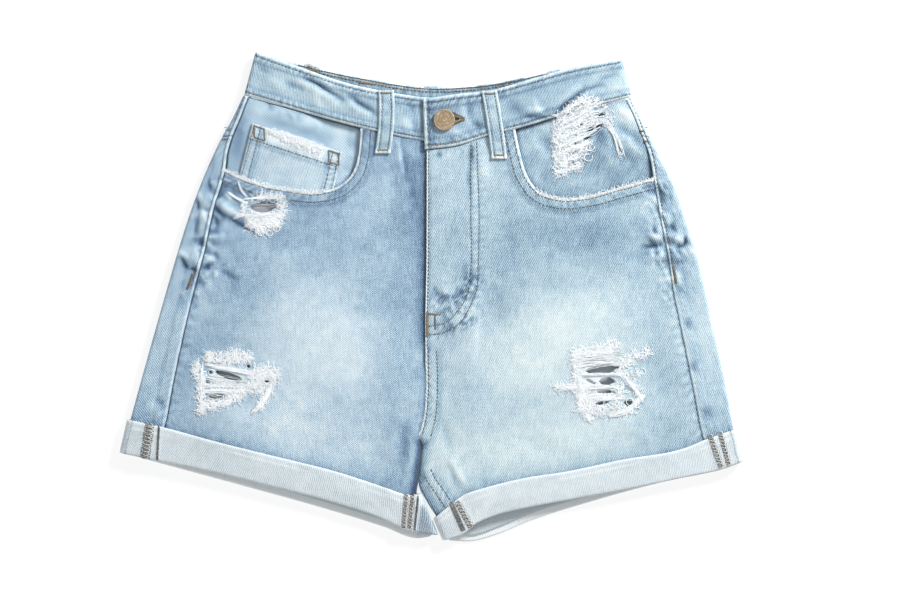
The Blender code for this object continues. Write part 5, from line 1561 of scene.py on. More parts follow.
def front_loop(side, material):
    """A belt loop over the waistband, down on to the front below the waist seam."""
    top, bottom = (np.array(p) for p in FRONT_LOOPS[side])
    share, across = loop_grid(even(46))
    centre = loop_line(side, share, across)
    on_band, on_front = BAND_FRONT_LEVEL + BAND / 2, FRONT_LEVEL + DENIM / 2
    height = on_front + (on_band - on_front) * ramp(share, 0.10, 0.32) + LAP_GAP + LOOP / 2
    length = np.linalg.norm(top - bottom)
    along = share * length
    ends = 0.35 * (bump(along, 3.6, 1.6) + bump(along, length - 3.6, 1.6))
    ends -= 0.5 * (bump(along, 0, 1.2) + bump(along, length, 1.4))
    z = height + swell(centre[..., 0], centre[..., 1]) - ends * 0.5
    data = loop_table(centre, across, z, along, 141 if side == "right" else 145)
    data[:, WASH] += 0.30 * bump(data[:, V], 1.4, 2) + 0.16 * bump(data[:, V], length, 2)
    data[:, WASH] -= 0.16 * bump(data[:, V], 7.6, 2.6) + 0.14 * bump(data[:, V], length * 0.42, 4)
    return cloth_piece("belt_loop_front_" + side, material, data, share.shape)


def back_loop(name, material):
    x, y, angle = BACK_LOOPS[name]
    along, across = loop_grid(np.linspace(-0.5, 0.5, 40) * BACK_LOOP_LENGTH)
    px, py = turned(across, along, (x, y), angle)
    data = loop_table(np.dstack((px, py)), across, PATCH / 2 + 0 * px, along, 151)
    data[:, Z] = PATCH / 2
    return cloth_piece("belt_loop_back_" + name, material, data, along.shape, face_up=False)


BUTTON_RADIUS = (BUTTON_HIGH[0] - BUTTON_LOW[0]) / 2 / MM
BUTTON_RISE = 3.2
SHANK_RADIUS = 3


def button(material):
    """The tack button: a cap with a fluted ring, a rolled rim and a small boss, on its shank."""
    top = BUTTON_HIGH[2] / MM + 0.9
    foot = BUTTON_LOW[2] / MM
    rings = np.concatenate((np.linspace(0, 2.4, 9), np.linspace(2.7, 8.9, 34)))
    angle = np.linspace(0, 2 * math.pi, 193)[:-1]
    r, a = np.meshgrid(rings, angle, indexing="ij")
    z = top - 0.32 - 0.10 * ramp(r, 2.1, 2.5) + 0.12 * ramp(r, 7.8, 8.2)
    z = z - 0.6 * ramp(r, 8.3, 8.95) - 0.5 * (1 - ramp(r, 0.3, 0.7))
    flute = np.sin(38 * a) * ramp(r, 5.6, 6) * (1 - ramp(r, 7.4, 7.8))
    z = z + 0.24 * flute - 0.24 * bump(r, 2.3, 0.3) - 0.10 * bump(r, 5.3, 0.2)
    side = ((BUTTON_RADIUS, top - 1.3), (BUTTON_RADIUS - 0.1, top - 2.3), (BUTTON_RADIUS - 0.7, top - 2.9),
            (BUTTON_RADIUS - 1.6, top - BUTTON_RISE), (SHANK_RADIUS, top - BUTTON_RISE),
            (SHANK_RADIUS, foot), (0.05, foot))
    wide = np.ones((1, len(angle)))
    r, z = (np.vstack([grid] + [row[i] * wide for row in side]) for i, grid in enumerate((r, z)))
    a = np.broadcast_to(angle, r.shape)
    points = np.dstack((BUTTON_X + r * np.cos(a), BUTTON_Y + r * np.sin(a), z)).reshape(-1, 3)
    faces = np.array(grid_faces(*r.shape, closed=True))[:, ::-1]
    first = np.arange(len(angle))[None]
    ends = [first, (first + (len(r) - 1) * len(angle))[:, ::-1]]
    return new_object("tack_button", points, [faces] + ends, {}, material)


ZIP_TEETH = 58


def fly_zip(tape_material, tooth_material):
    """The closed zip behind the fly: a woven tape and its row of teeth."""
    half = ZIP_WIDTH / 2
    low = BACK_LEVEL + DENIM / 2 + LAP_GAP
    x, y = np.meshgrid(np.linspace(-half, half, 14) + ZIP_CENTRE_X,
                       np.linspace(ZIP_BOTTOM_Y, ZIP_TOP_Y, 70))
    data = table_of(x, y, low + 0.3 + 0 * x, x, y, 0.5, 0, 0.6)
    tape = shell("zip_tape", data, grid_faces(*x.shape), tape_material)
    at = np.linspace(ZIP_BOTTOM_Y + 4, ZIP_TOP_Y - 4, ZIP_TEETH)
    paths = [[(ZIP_CENTRE_X + dx, yy, low + 0.8) for dx in (-2.2, -1, 1, 2.2)] for yy in at]
    teeth = strands_object("zip_teeth", [(paths, 0.55, 6, 0.5)], tooth_material)
    return tape, teeth


# ---------------------------------------------------------------- materials

LIGHT = 1.16


def linear(r, g, b, light=LIGHT):
    """A colour of the display, 0 to 255, as the shader's linear values under that much light."""
    out = [(c / 255 / 12.92) if c <= 10 else ((c / 255 + 0.055) / 1.055) ** 2.4 for c in (r, g, b)]
    return (*(c / light for c in out), 1)


class Nodes:
    """Short ways to put together a node material."""

    def __init__(self, name, roughness, sheen=0, metallic=0):
        self.material = bpy.data.materials.new(name)
        self.material.use_nodes = True
        self.tree = self.material.node_tree
        self.shader = self.tree.nodes["Principled BSDF"]
        self.shader.inputs["Roughness"].default_value = roughness
        self.shader.inputs["Sheen Weight"].default_value = sheen
        self.shader.inputs["Sheen Roughness"].default_value = 0.6
        self.shader.inputs["Metallic"].default_value = metallic

    def node(self, kind, **settings):
        made = self.tree.nodes.new(kind)
        for key, value in settings.items():
            setattr(made, key, value)
        return made

    def join(self, value, socket):
        if isinstance(value, bpy.types.NodeSocket):
            self.tree.links.new(value, socket)
        else:
            socket.default_value = value

    def math(self, operation, *values, clamp=False):
        made = self.node("ShaderNodeMath", operation=operation, use_clamp=clamp)
        for value, socket in zip(values, made.inputs):
            self.join(value, socket)
        return made.outputs[0]

    def vary(self, base, *patterns):
        """A value moved up and down by patterns from 0 to 1, each with its amount."""
        for pattern, amount in patterns:
            base = self.math("MULTIPLY_ADD", self.math("SUBTRACT", pattern, 0.5), amount, base)
        return base

    def mixed(self, share, first, second):
        made = self.node("ShaderNodeMix", data_type="RGBA")
        self.join(share, made.inputs["Factor"])
        self.join(first, made.inputs["A"])
        self.join(second, made.inputs["B"])
        return made.outputs["Result"]

    def attribute(self, name):
        return self.node("ShaderNodeAttribute", attribute_name=name)

    def scaled(self, vector, scale):
        made = self.node("ShaderNodeVectorMath", operation="MULTIPLY")
        self.join(vector, made.inputs[0])
        made.inputs[1].default_value = scale
        return made.outputs[0]

    def lumps(self, vector, scale, detail=2, roughness=0.5):
        """Noise from 0 to 1 over a vector that has already been scaled to lumps."""
        made = self.node("ShaderNodeTexNoise", noise_dimensions="3D")
        self.join(self.scaled(vector, scale), made.inputs["Vector"])
        made.inputs["Scale"].default_value = 1
        made.inputs["Detail"].default_value = detail
        made.inputs["Roughness"].default_value = roughness
        return made.outputs["Fac"]

    def across(self, vector, normal):
        """Length along a direction given in counts a metre."""
        made = self.node("ShaderNodeVectorMath", operation="DOT_PRODUCT")
        self.join(vector, made.inputs[0])
        made.inputs[1].default_value = normal
        return made.outputs["Value"]

    def ramp(self, value, stops, light=LIGHT):
        made = self.node("ShaderNodeValToRGB")
        elements = made.color_ramp.elements
        while len(elements) < len(stops):
            elements.new(0.5)
        for element, (at, colour) in zip(elements, stops):
            element.position = at
            element.color = linear(*colour, light)
        self.join(value, made.inputs["Fac"])
        return made.outputs["Color"]

    def finish(self, colour, height=None, depth=0.0002):
        self.join(colour, self.shader.inputs["Base Color"])
        if height is not None:
            made = self.node("ShaderNodeBump")
            made.inputs["Strength"].default_value = 1
            made.inputs["Distance"].default_value = depth
            self.join(height, made.inputs["Height"])
            self.join(made.outputs["Normal"], self.shader.inputs["Normal"])
        return self.material


INDIGO_RAMP = (
    (0, (50, 72, 102)), (0.2, (94, 123, 152)), (0.4, (140, 170, 196)), (0.55, (170, 198, 216)),
    (0.7, (196, 217, 228)), (0.85, (220, 234, 240)), (1, (241, 246, 248)),
)
# The same washed further, as the wearer's left side is: a little greener.
PALE_RAMP = tuple((at, (r + 1, g, b - 4)) for at, (r, g, b) in INDIGO_RAMP)
REVERSE_RAMP = (
    (0, (104, 122, 140)), (0.25, (150, 167, 180)), (0.45, (190, 204, 211)), (0.6, (209, 220, 225)),
    (0.8, (226, 234, 237)), (1, (244, 248, 249)),
)


def twill(nodes, cloth, angle, pitch, wander):
    """Waves of a twill whose ribs run at an angle to the cloth's own x, from 0 to 1."""
    a = math.radians(angle + 90)
    turns = 2 * math.pi / (pitch * MM)
    phase = nodes.across(cloth, (math.cos(a) * turns, math.sin(a) * turns, 0))
    wandering = nodes.math("SUBTRACT", nodes.lumps(cloth, (190, 190, 190)), 0.5)
    drift = nodes.math("MULTIPLY", wandering, wander)
    wave = nodes.math("SINE", nodes.math("ADD", phase, drift))
    return nodes.math("MULTIPLY_ADD", wave, 0.5, 0.5)


def denim(name, angle, pitch, contrast=0.34, slub=0.22, stops=INDIGO_RAMP, both=False):
    """Washed denim: twill ribs, slub yarns along the warp, speckle, clouds and bleached wear."""
    n = Nodes(name, 0.92, sheen=0.12)
    cloth = n.attribute("cloth").outputs["Vector"]
    wash = n.attribute("wash").outputs["Fac"]
    worn = n.attribute("worn").outputs["Fac"]
    under = n.attribute("under").outputs["Fac"]
    rib = twill(n, cloth, angle, pitch, 5)
    breaks = n.lumps(cloth, (1500, 900, 1), 1)
    yarn = n.lumps(cloth, (1150, 95, 1), 2)
    weft = n.lumps(cloth, (70, 1300, 1), 2)
    speckle = n.lumps(cloth, (1050, 1050, 1), 2, 0.65)
    cloud = n.lumps(cloth, (130, 130, 1), 3)
    tone = n.vary(wash, (rib, contrast), (breaks, 0.5 * contrast), (yarn, 2 * slub), (weft, 0.9 * slub),
                  (speckle, 0.8), (cloud, 0.20))
    patchy = n.math("MULTIPLY", worn, n.math("MULTIPLY_ADD", speckle, 2.4, -0.35), clamp=True)
    tone = n.math("MULTIPLY_ADD", patchy, n.math("SUBTRACT", 0.97, tone), tone)
    face = n.ramp(tone, stops)
    back_tone = n.vary(0.55, (rib, 0.2), (speckle, 0.3))
    colour = face if both else n.mixed(under, face, n.ramp(back_tone, REVERSE_RAMP))
    height = rib
    for pattern, amount in ((yarn, 0.5), (speckle, 0.9), (breaks, 0.4)):
        height = n.math("MULTIPLY_ADD", pattern, amount, height)
    return n.finish(colour, height, 0.00016)


def pocketing():
    """Plain white cotton sheeting, slightly blued by the wash."""
    n = Nodes("pocketing_cotton", 0.95, sheen=0.05)
    cloth = n.attribute("cloth").outputs["Vector"]
    warp = n.across(cloth, (2 * math.pi / 0.0006, 0, 0))
    weft = n.across(cloth, (0, 2 * math.pi / 0.0006, 0))
    weave = n.math("MULTIPLY", n.math("SINE", warp), n.math("SINE", weft))
    speckle = n.lumps(cloth, (900, 900, 1), 2)
    tone = n.math("MULTIPLY_ADD", weave, 0.08, n.math("MULTIPLY_ADD", speckle, 0.5, 0.25))
    colour = n.ramp(tone, ((0, (150, 152, 166)), (0.5, (196, 197, 208)), (1, (232, 233, 240))))
    return n.finish(colour, weave, 0.0001)


def zip_cotton():
    n = Nodes("zip_tape_cotton", 0.9, sheen=0.05)
    cloth = n.attribute("cloth").outputs["Vector"]
    weave = n.math("SINE", n.across(cloth, (2 * math.pi / 0.0012, 2 * math.pi / 0.0012, 0)))
    colour = n.ramp(n.math("MULTIPLY_ADD", weave, 0.3, 0.5), ((0, (186, 182, 170)), (1, (216, 213, 204))))
    return n.finish(colour, weave, 0.0001)


def thread(name, stops, twist=0.0009, light=LIGHT, painted_glow=0):
    """Twisted thread whose colour goes by the tone of each strand; the last argument is the strength of a
    painted glow that lifts the strands out of their own shade.
    """
    n = Nodes(name, 0.75, sheen=0.1)
    # A painted glow, not a lamp, that keeps the bare yarns white in their own shade.
    n.shader.inputs["Emission Color"].default_value = (0.96, 0.98, 1, 1)
    n.shader.inputs["Emission Strength"].default_value = painted_glow
    tone = n.attribute("tone").outputs["Fac"]
    place = n.node("ShaderNodeTexCoord").outputs["Object"]
    turns = n.across(place, (2 * math.pi / twist, 2 * math.pi / twist, 0))
    ply = n.math("SINE", turns)
    fuzz = n.lumps(place, (1500, 1500, 1500), 2)
    value = n.math("MULTIPLY_ADD", ply, 0.05, n.vary(tone, (fuzz, 0.22)))
    return n.finish(n.ramp(value, stops, light), ply, 0.00008)


def copper():
    """Aged copper-coloured metal, darker and duller in the hollows and lighter on the edges; the darkening
    is partly its patina and partly painted shade, and the edges carry painted highlight, to bring out the
    fluting.
    """
    n = Nodes("aged_copper", 0.5, metallic=0.45)
    place = n.node("ShaderNodeTexCoord").outputs["Object"]
    stain = n.lumps(place, (420, 420, 420), 4, 0.6)
    grain = n.lumps(place, (2600, 2600, 2600), 2)
    hollow_patina_and_shade = n.node("ShaderNodeNewGeometry").outputs["Pointiness"]
    # Pointiness darkens the hollows and lightens the edges: partly patina, partly painted shade and painted
    # highlight.
    value = n.vary(0.5, (stain, 0.9), (hollow_patina_and_shade, 4), (grain, 0.3))
    colour = n.ramp(value, ((0, (92, 80, 64)), (0.35, (146, 128, 102)), (0.6, (184, 162, 132)),
                            (1, (218, 202, 176))))
    n.join(n.math("MULTIPLY_ADD", stain, 0.3, 0.45), n.shader.inputs["Roughness"])
    return n.finish(colour, grain, 0.00005)


def dull_brass():
    n = Nodes("dull_brass", 0.4, metallic=0.9)
    place = n.node("ShaderNodeTexCoord").outputs["Object"]
    stain = n.lumps(place, (500, 500, 500), 3)
    return n.finish(n.ramp(stain, ((0.3, (150, 128, 84)), (0.7, (206, 184, 132)))), stain, 0.00005)


THREAD_STOPS = (
    (0, (78, 74, 72)), (0.2, (112, 106, 100)), (0.4, (134, 120, 100)), (0.55, (152, 130, 94)),
    (0.7, (172, 140, 88)), (0.85, (188, 144, 76)), (1, (206, 172, 116)),
)
OVERLOCK_STOPS = (
    (0, (66, 64, 62)), (0.3, (112, 108, 103)), (0.6, (168, 164, 157)), (1, (234, 233, 228)),
)
YARN_STOPS = (
    (0, (176, 190, 204)), (0.25, (224, 231, 236)), (0.45, (249, 252, 253)), (1, (254, 255, 255)),
)


# ---------------------------------------------------------------- stitches and yarns

# GREY paints the thread darker: painted shade of its twist and of the groove it lies in. BROWN is weathered
# thread.
GREY, BROWN, GOLD = 0.12, 0.36, 0.66


class Surface:
    """The outer face of one or more pieces, asked for its height near any point."""

    def __init__(self, *tables, part=0, face=1):
        """part is 1 for what lies on top and -1 for the underside; face -1 asks for the lower face."""
        middle = (FRONT_LEVEL + BACK_LEVEL) / 2
        data = np.vstack([t[(t[:, Z] - middle) * part >= 0] if part else t for t in tables])
        self.sign = face
        self.height = data[:, Z] + face * data[:, THICK] / 2
        self.tree = KDTree(len(data))
        for i, point in enumerate(data[:, :2].tolist()):
            self.tree.insert((*point, 0), i)
        self.tree.balance()

    def at(self, x, y):
        found = []
        for point in zip(np.ravel(x).tolist(), np.ravel(y).tolist()):
            near = self.tree.find_n((*point, 0), 4)
            weights = [1 / (gap + 0.1) for _, _, gap in near]
            found.append(sum(w * self.height[i] for w, (_, i, _) in zip(weights, near)) / sum(weights))
        return np.reshape(found, np.shape(x))


def lifted(surface, x, y, rise):
    return np.stack((x, y, surface.at(x, y) + surface.sign * rise), axis=-1)


def ruler(x0, y0, x1, y1):
    """The length of a line, and a way to find points from lengths along it and distances to its left."""
    start, end = np.array((x0, y0)), np.array((x1, y1))
    length = np.linalg.norm(end - start)
    ux, uy = (end - start) / length
    return length, lambda s, side: (start[0] + ux * s - uy * side, start[1] + uy * s + ux * side)


class Sewing:
    """Collects rows of stitches and bar tacks, one batch for each kind."""

    def __init__(self, seed):
        self.batches = []
        self.random = np.random.default_rng(seed)

    def lay(self, surface, place, rise, radius, sides, tone, spread):
        """Add strands at a place on a surface, each a little lighter or darker than the tone."""
        x, y = place
        tones = tone + self.random.normal(0, spread, len(x))
        self.batches.append((lifted(surface, x, y, np.array(rise)), radius, sides, tones))

    def row(self, surface, line, tone=GREY, pitch=3.1, fill=0.78, radius=0.36, drift=0.10, spread=0.10):
        """A row of stitches along a line, each sunk into the cloth at its ends."""
        p = np.array(line, float)
        run = run_of(p)
        count = max(1, int(run[-1] / pitch))
        share = np.linspace(0.5 - fill / 2, 0.5 + fill / 2, 5)
        s = (np.arange(count)[:, None] + share[None]) * (run[-1] / count)
        side = np.repeat(self.random.normal(0, drift, (count, 1)), 5, axis=1)
        x, y = np.interp(s, run, p[:, 0]), np.interp(s, run, p[:, 1])
        dx, dy = np.gradient(x, axis=1), np.gradient(y, axis=1)
        size = np.maximum(np.hypot(dx, dy), 1e-9)
        place = (x - dy / size * side, y + dx / size * side)
        sink = np.array((-0.34, 0.10, 0.20, 0.10, -0.34)) * radius / 0.36
        self.lay(surface, place, sink, radius, 5, tone, spread)

    def tack(self, surface, x0, y0, x1, y1, width, tone=BROWN, step=0.62, radius=0.30):
        """A bar tack: thread going to and fro across a short line."""
        length, at = ruler(x0, y0, x1, y1)
        count = max(4, int(length / step))
        s = (np.arange(count)[:, None] + np.linspace(0.1, 0.9, 5)[None]) * length / count
        reach = np.linspace(-0.5, 0.5, 5)[None] * np.where(np.arange(count) % 2, 1, -1)[:, None]
        reach *= width * self.random.uniform(0.85, 1.12, (count, 1))
        self.lay(surface, at(s, reach), (0, 0.35, 0.45, 0.35, 0), radius, 4, tone, 0.09)

    def edging(self, surface, x0, y0, x1, y1, width, tone, step=1.5, radius=0.34, slant=1.2):
        """An overlocked edge: slanted threads side by side, looped along one edge."""
        length, at = ruler(x0, y0, x1, y1)
        count = max(4, int(length / step))
        t = np.linspace(0, 1, 7)
        s = (np.arange(count)[:, None] + 0.5) * length / count + slant * (t[None] - 0.5)
        s += 0.35 * np.sin(2 * math.pi * t)[None] * self.random.uniform(0.4, 1.2, (count, 1))
        reach = (t - 0.5)[None] * width * self.random.uniform(0.9, 1.06, (count, 1))
        self.lay(surface, at(s, reach), (-0.1, 0.3, 0.42, 0.45, 0.42, 0.3, -0.1), radius, 5, tone, 0.12)

    def chained(self, surface, x0, y0, x1, y1, width, tone, step=2.6, radius=0.34):
        """A chain of round loops down a seam end."""
        length, at = ruler(x0, y0, x1, y1)
        count = max(3, int(length / step))
        turn = np.linspace(-0.6 * math.pi, 0.9 * math.pi, 9)
        middle = (np.arange(count)[:, None] + 0.5) * length / count
        s = middle + np.cos(turn)[None] * step * 0.55
        reach = np.sin(turn)[None] * width / 2 * self.random.uniform(0.85, 1.15, (count, 1))
        self.lay(surface, at(s, reach), 0.3 + 0.2 * np.sin(turn * 1.3), radius, 5, tone, 0.08)


class Yarns:
    """Collects loose yarns: bundles across a rip, fringes at an edge, curls."""

    def __init__(self, seed, holes=()):
        self.batches = []
        self.random = np.random.default_rng(seed)
        self.holes = [ragged_ring(*hole, k) for k, hole in enumerate(holes)]

    def bundle(self, surface, x0, y0, x1, y1, spread, count, bow, curl, radius):
        """Yarns side by side between two ragged ends."""
        length, at = ruler(x0, y0, x1, y1)
        r = self.random
        t = np.linspace(0, 1, 13)[None]
        one = lambda low, high: r.uniform(low, high, (count, 1))
        ragged = min(4, 0.16 * length)
        s = one(-ragged, ragged) * (1 - t) + (length + one(-ragged, ragged)) * t
        side = spread * one(-1, 1) * (1 + 0.4 * one(-1, 1) * (2 * t - 1))
        side += bow * one(0.6, 1.3) * 4 * t * (1 - t)
        side += 0.7 * curl * np.sin(2 * math.pi * (one(0.6, 1.6) * t + one(0, 1)))
        side += 0.4 * curl * np.sin(2 * math.pi * (one(2, 5) * t + one(0, 1)))
        x, y = at(s, side)
        rise = radius + one(0, 1.1) * np.sin(math.pi * t)**0.6 + 0.15 * np.sin(9 * t + one(0, 6))
        size = radius * one(0.75, 1.2) * (0.6 + 0.4 * np.sin(math.pi * t)**0.4)
        self.batches.append((lifted(surface, x, y, rise), size, 3, 0.42 + r.normal(0, 0.14, count)))

    def walk(self, surface, x, y, heading, bend, stride, radius):
        """Loose ends that set off from their roots and curl as they go."""
        r = self.random
        count, steps = len(x), 8
        turn = bend + 0.25 * np.abs(bend).mean() * np.cumsum(r.normal(0, 1, (count, steps)), axis=1)
        angle = heading + np.cumsum(turn, axis=1) - turn[:, :1]
        x = np.concatenate((x, x + np.cumsum(stride * np.cos(angle), axis=1)), axis=1)
        y = np.concatenate((y, y + np.cumsum(stride * np.sin(angle), axis=1)), axis=1)
        if self.holes:
            sunk = sum((signed(x, y, ring) < -0.2).sum(axis=1) for ring in self.holes)
            kept = (sunk < 2) | (r.uniform(0, 1, count) < 0.06)
            x, y, count = x[kept], y[kept], int(kept.sum())
        t = np.linspace(0, 1, steps + 1)[None]
        rise = 0.05 + r.uniform(0.1, 1.3, (count, 1)) * np.sin(2.2 * t) + 0.2 * np.sin(7 * t)
        size = radius * r.uniform(0.7, 1.2, (count, 1)) * (1 - 0.4 * t)
        self.batches.append((lifted(surface, x, y, rise), size, 3, 0.56 + r.normal(0, 0.18, count)))

    def fringe(self, surface, x0, y0, x1, y1, dx, dy, reach, count, curl, radius):
        """Loose ends that leave a line towards dx, dy, with curls."""
        r = self.random
        root = r.uniform(0, 1, (count, 1))
        x = x0 + (x1 - x0) * root + r.normal(0, 0.7, (count, 1))
        y = y0 + (y1 - y0) * root + r.normal(0, 0.7, (count, 1))
        heading = math.atan2(dy, dx) + r.normal(0, 0.35 + 0.2 * curl, (count, 1))
        self.walk(surface, x, y, heading, r.normal(0, 0.22 * curl, (count, 1)),
                  reach * r.uniform(0.3, 1.25, (count, 1)) / 8, radius)

    def tangle(self, surface, cx, cy, half_x, half_y, turn, count, reach, curl, radius):
        """Curled ends thrown about inside an oval."""
        r = self.random
        angle, out = r.uniform(0, 2 * math.pi, (count, 1)), np.sqrt(r.uniform(0, 1, (count, 1)))
        u, v = half_x * out * np.cos(angle), half_y * out * np.sin(angle)
        c, s = math.cos(math.radians(turn)), math.sin(math.radians(turn))
        heading = r.uniform(0, 2 * math.pi, (count, 1))
        heading -= 0.35 * np.sin(2 * (heading - math.radians(turn)))
        bend = curl * r.choice((-1, 1), (count, 1)) * r.uniform(0.4, 1.5, (count, 1))
        stride = reach * r.uniform(0.4, 1.2, (count, 1)) / 8
        x = cx + u * c - v * s - 3 * stride * np.cos(heading)
        y = cy + u * s + v * c - 3 * stride * np.sin(heading)
        self.walk(surface, x, y, heading, bend, stride, radius)

    def edge(self, surface, line, reach, spacing, curl=1, radius=0.2, side=1, spread=0.5):
        """Short frayed ends along a whole line, to its left or, with side -1, its right."""
        p = fine(line, spacing)
        step = np.gradient(p, axis=0)
        for (x, y), (dx, dy) in zip(p, step):
            self.fringe(surface, x - spread * dx, y - spread * dy, x + spread * dx, y + spread * dy,
                        -side * dy, side * dx, reach, 2, curl, radius)

    def loop(self, surface, x, y, size, first, swept, radius):
        """A single yarn that lies in a loop."""
        turn = np.radians(first + swept * even(18))[None]
        grow = size * (0.8 + 0.35 * even(18))[None]
        path = lifted(surface, x + grow * np.cos(turn), y + grow * np.sin(turn), 0.5)
        self.batches.append((path, radius, 5, np.array([0.68])))


def mend(name, rip, surface):
    """All the bare yarns of one rip."""
    yarns = Yarns(sum(map(ord, name)), rip["holes"])
    for kind, add in (("fringes", yarns.fringe), ("tangles", yarns.tangle), ("bundles", yarns.bundle),
                      ("loops", yarns.loop)):
        for row in rip[kind]:
            add(surface, *row)
    return yarns


# Overlocked seam ends that show on the turned-up cuffs: x0, y0, x1, y1, width, kind.
OVERLOCKS = {
    "right": ((-236, -106.5, -240.5, -136, 8.5, "column"), (-228.4, -108.7, -230, -137.4, 1.5, "edge"),
              (-20.8, -165.8, -23.2, -194.4, 4.6, "column"), (-15.4, -165.6, -18.2, -194.8, 4.4, "column"),
              (-10.9, -166, -14.2, -196, 1.5, "edge")),
    "left": ((233.5, -116, 243, -143, 5, "column"), (242, -113.5, 249.5, -141, 4.5, "column"),
             (16.5, -173, 27, -196.5, 4, "edge"), (21.5, -171.5, 33.5, -193.5, 5.5, "column")),
}



# ---------------------------------------------------------------- making the shorts

CLOTH = {
    "front_right": denim("denim_front_right", 138, 1.30),
    "front_left": denim("denim_front_left", 122, 1.42, stops=PALE_RAMP),
    "band": denim("denim_band", 96, 1.28, 0.24, 0.15, PALE_RAMP, both=True),
    "facing_right": denim("denim_facing_right", 116, 1.7, 0.26, 0.14),
    "facing_left": denim("denim_facing_left", 128, 1.35, stops=PALE_RAMP),
    "coin": denim("denim_coin", 118, 1.30, 0.28, 0.16),
    "back_right": denim("denim_back_right", 52, 1.40),
    "back_left": denim("denim_back_left", 52, 1.40, stops=PALE_RAMP),
    "patch": denim("denim_patch", 60, 1.40, both=True),
    "loop": denim("denim_loop", 70, 1.30, 0.30, 0.16, PALE_RAMP, both=True),
    "cuff_right": denim("denim_cuff_right", -62, 1.5, 0.34, 0.16, REVERSE_RAMP, both=True),
    "cuff_left": denim("denim_cuff_left", 84, 1.4, 0.24, 0.14, REVERSE_RAMP, both=True),
    "bag": pocketing(),
}
THREAD = thread("sewing_thread", THREAD_STOPS)
YARN = thread("bare_yarn", YARN_STOPS, 0.0006, 1.02, 0.22)
EDGE_THREAD = thread("overlock_thread", OVERLOCK_STOPS, 0.0007)

made, tables = {}, {}


def keep(name, piece_and_table, slot):
    """Put a piece in the place of the node of its name, and keep its points for what is sewn on it."""
    made[name], tables[name] = piece_and_table
    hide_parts(name)


for side in SIGN:
    keep("front_" + side, front(side, CLOTH["front_" + side]), "denim")
    keep("back_" + side, back(side, CLOTH["back_" + side]), "denim")
    keep("yoke_" + side, yoke(side, CLOTH["back_" + side]), "denim")
    keep("cuff_" + side, cuff(side, CLOTH["cuff_" + side]), "denim_reverse")
    keep("pocket_facing_" + side, facing(side, CLOTH["facing_" + side]), "denim")
    keep("back_pocket_" + side, back_pocket(side, CLOTH["patch"]), "denim")
    keep("belt_loop_front_" + side, front_loop(side, CLOTH["loop"]), "denim")
    keep("pocket_bag_" + side, pocket_bag(side, CLOTH["bag"]), "pocketing")
for name in BACK_LOOPS:
    keep("belt_loop_back_" + name, back_loop(name, CLOTH["loop"]), "denim")
keep("waistband", waistband(CLOTH["band"]), "denim")
tables["band_top"] = tables["waistband"][tables["waistband"][:, Z] > BAND_FRONT_LEVEL - 1]
keep("coin_pocket", coin_pocket(CLOTH["coin"]), "denim")

tack = button(copper())
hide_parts("button")
tape, teeth = fly_zip(zip_cotton(), dull_brass())
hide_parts("fly_zip")


# ---------------------------------------------------------------- sewing

sewn = {}


def sew(name, sewing, on, material=THREAD):
    """Make one piece of all the strands collected, and note which cloth it is on."""
    piece = strands_object(name, sewing.batches, material)
    sewn.setdefault(on, []).append(piece)


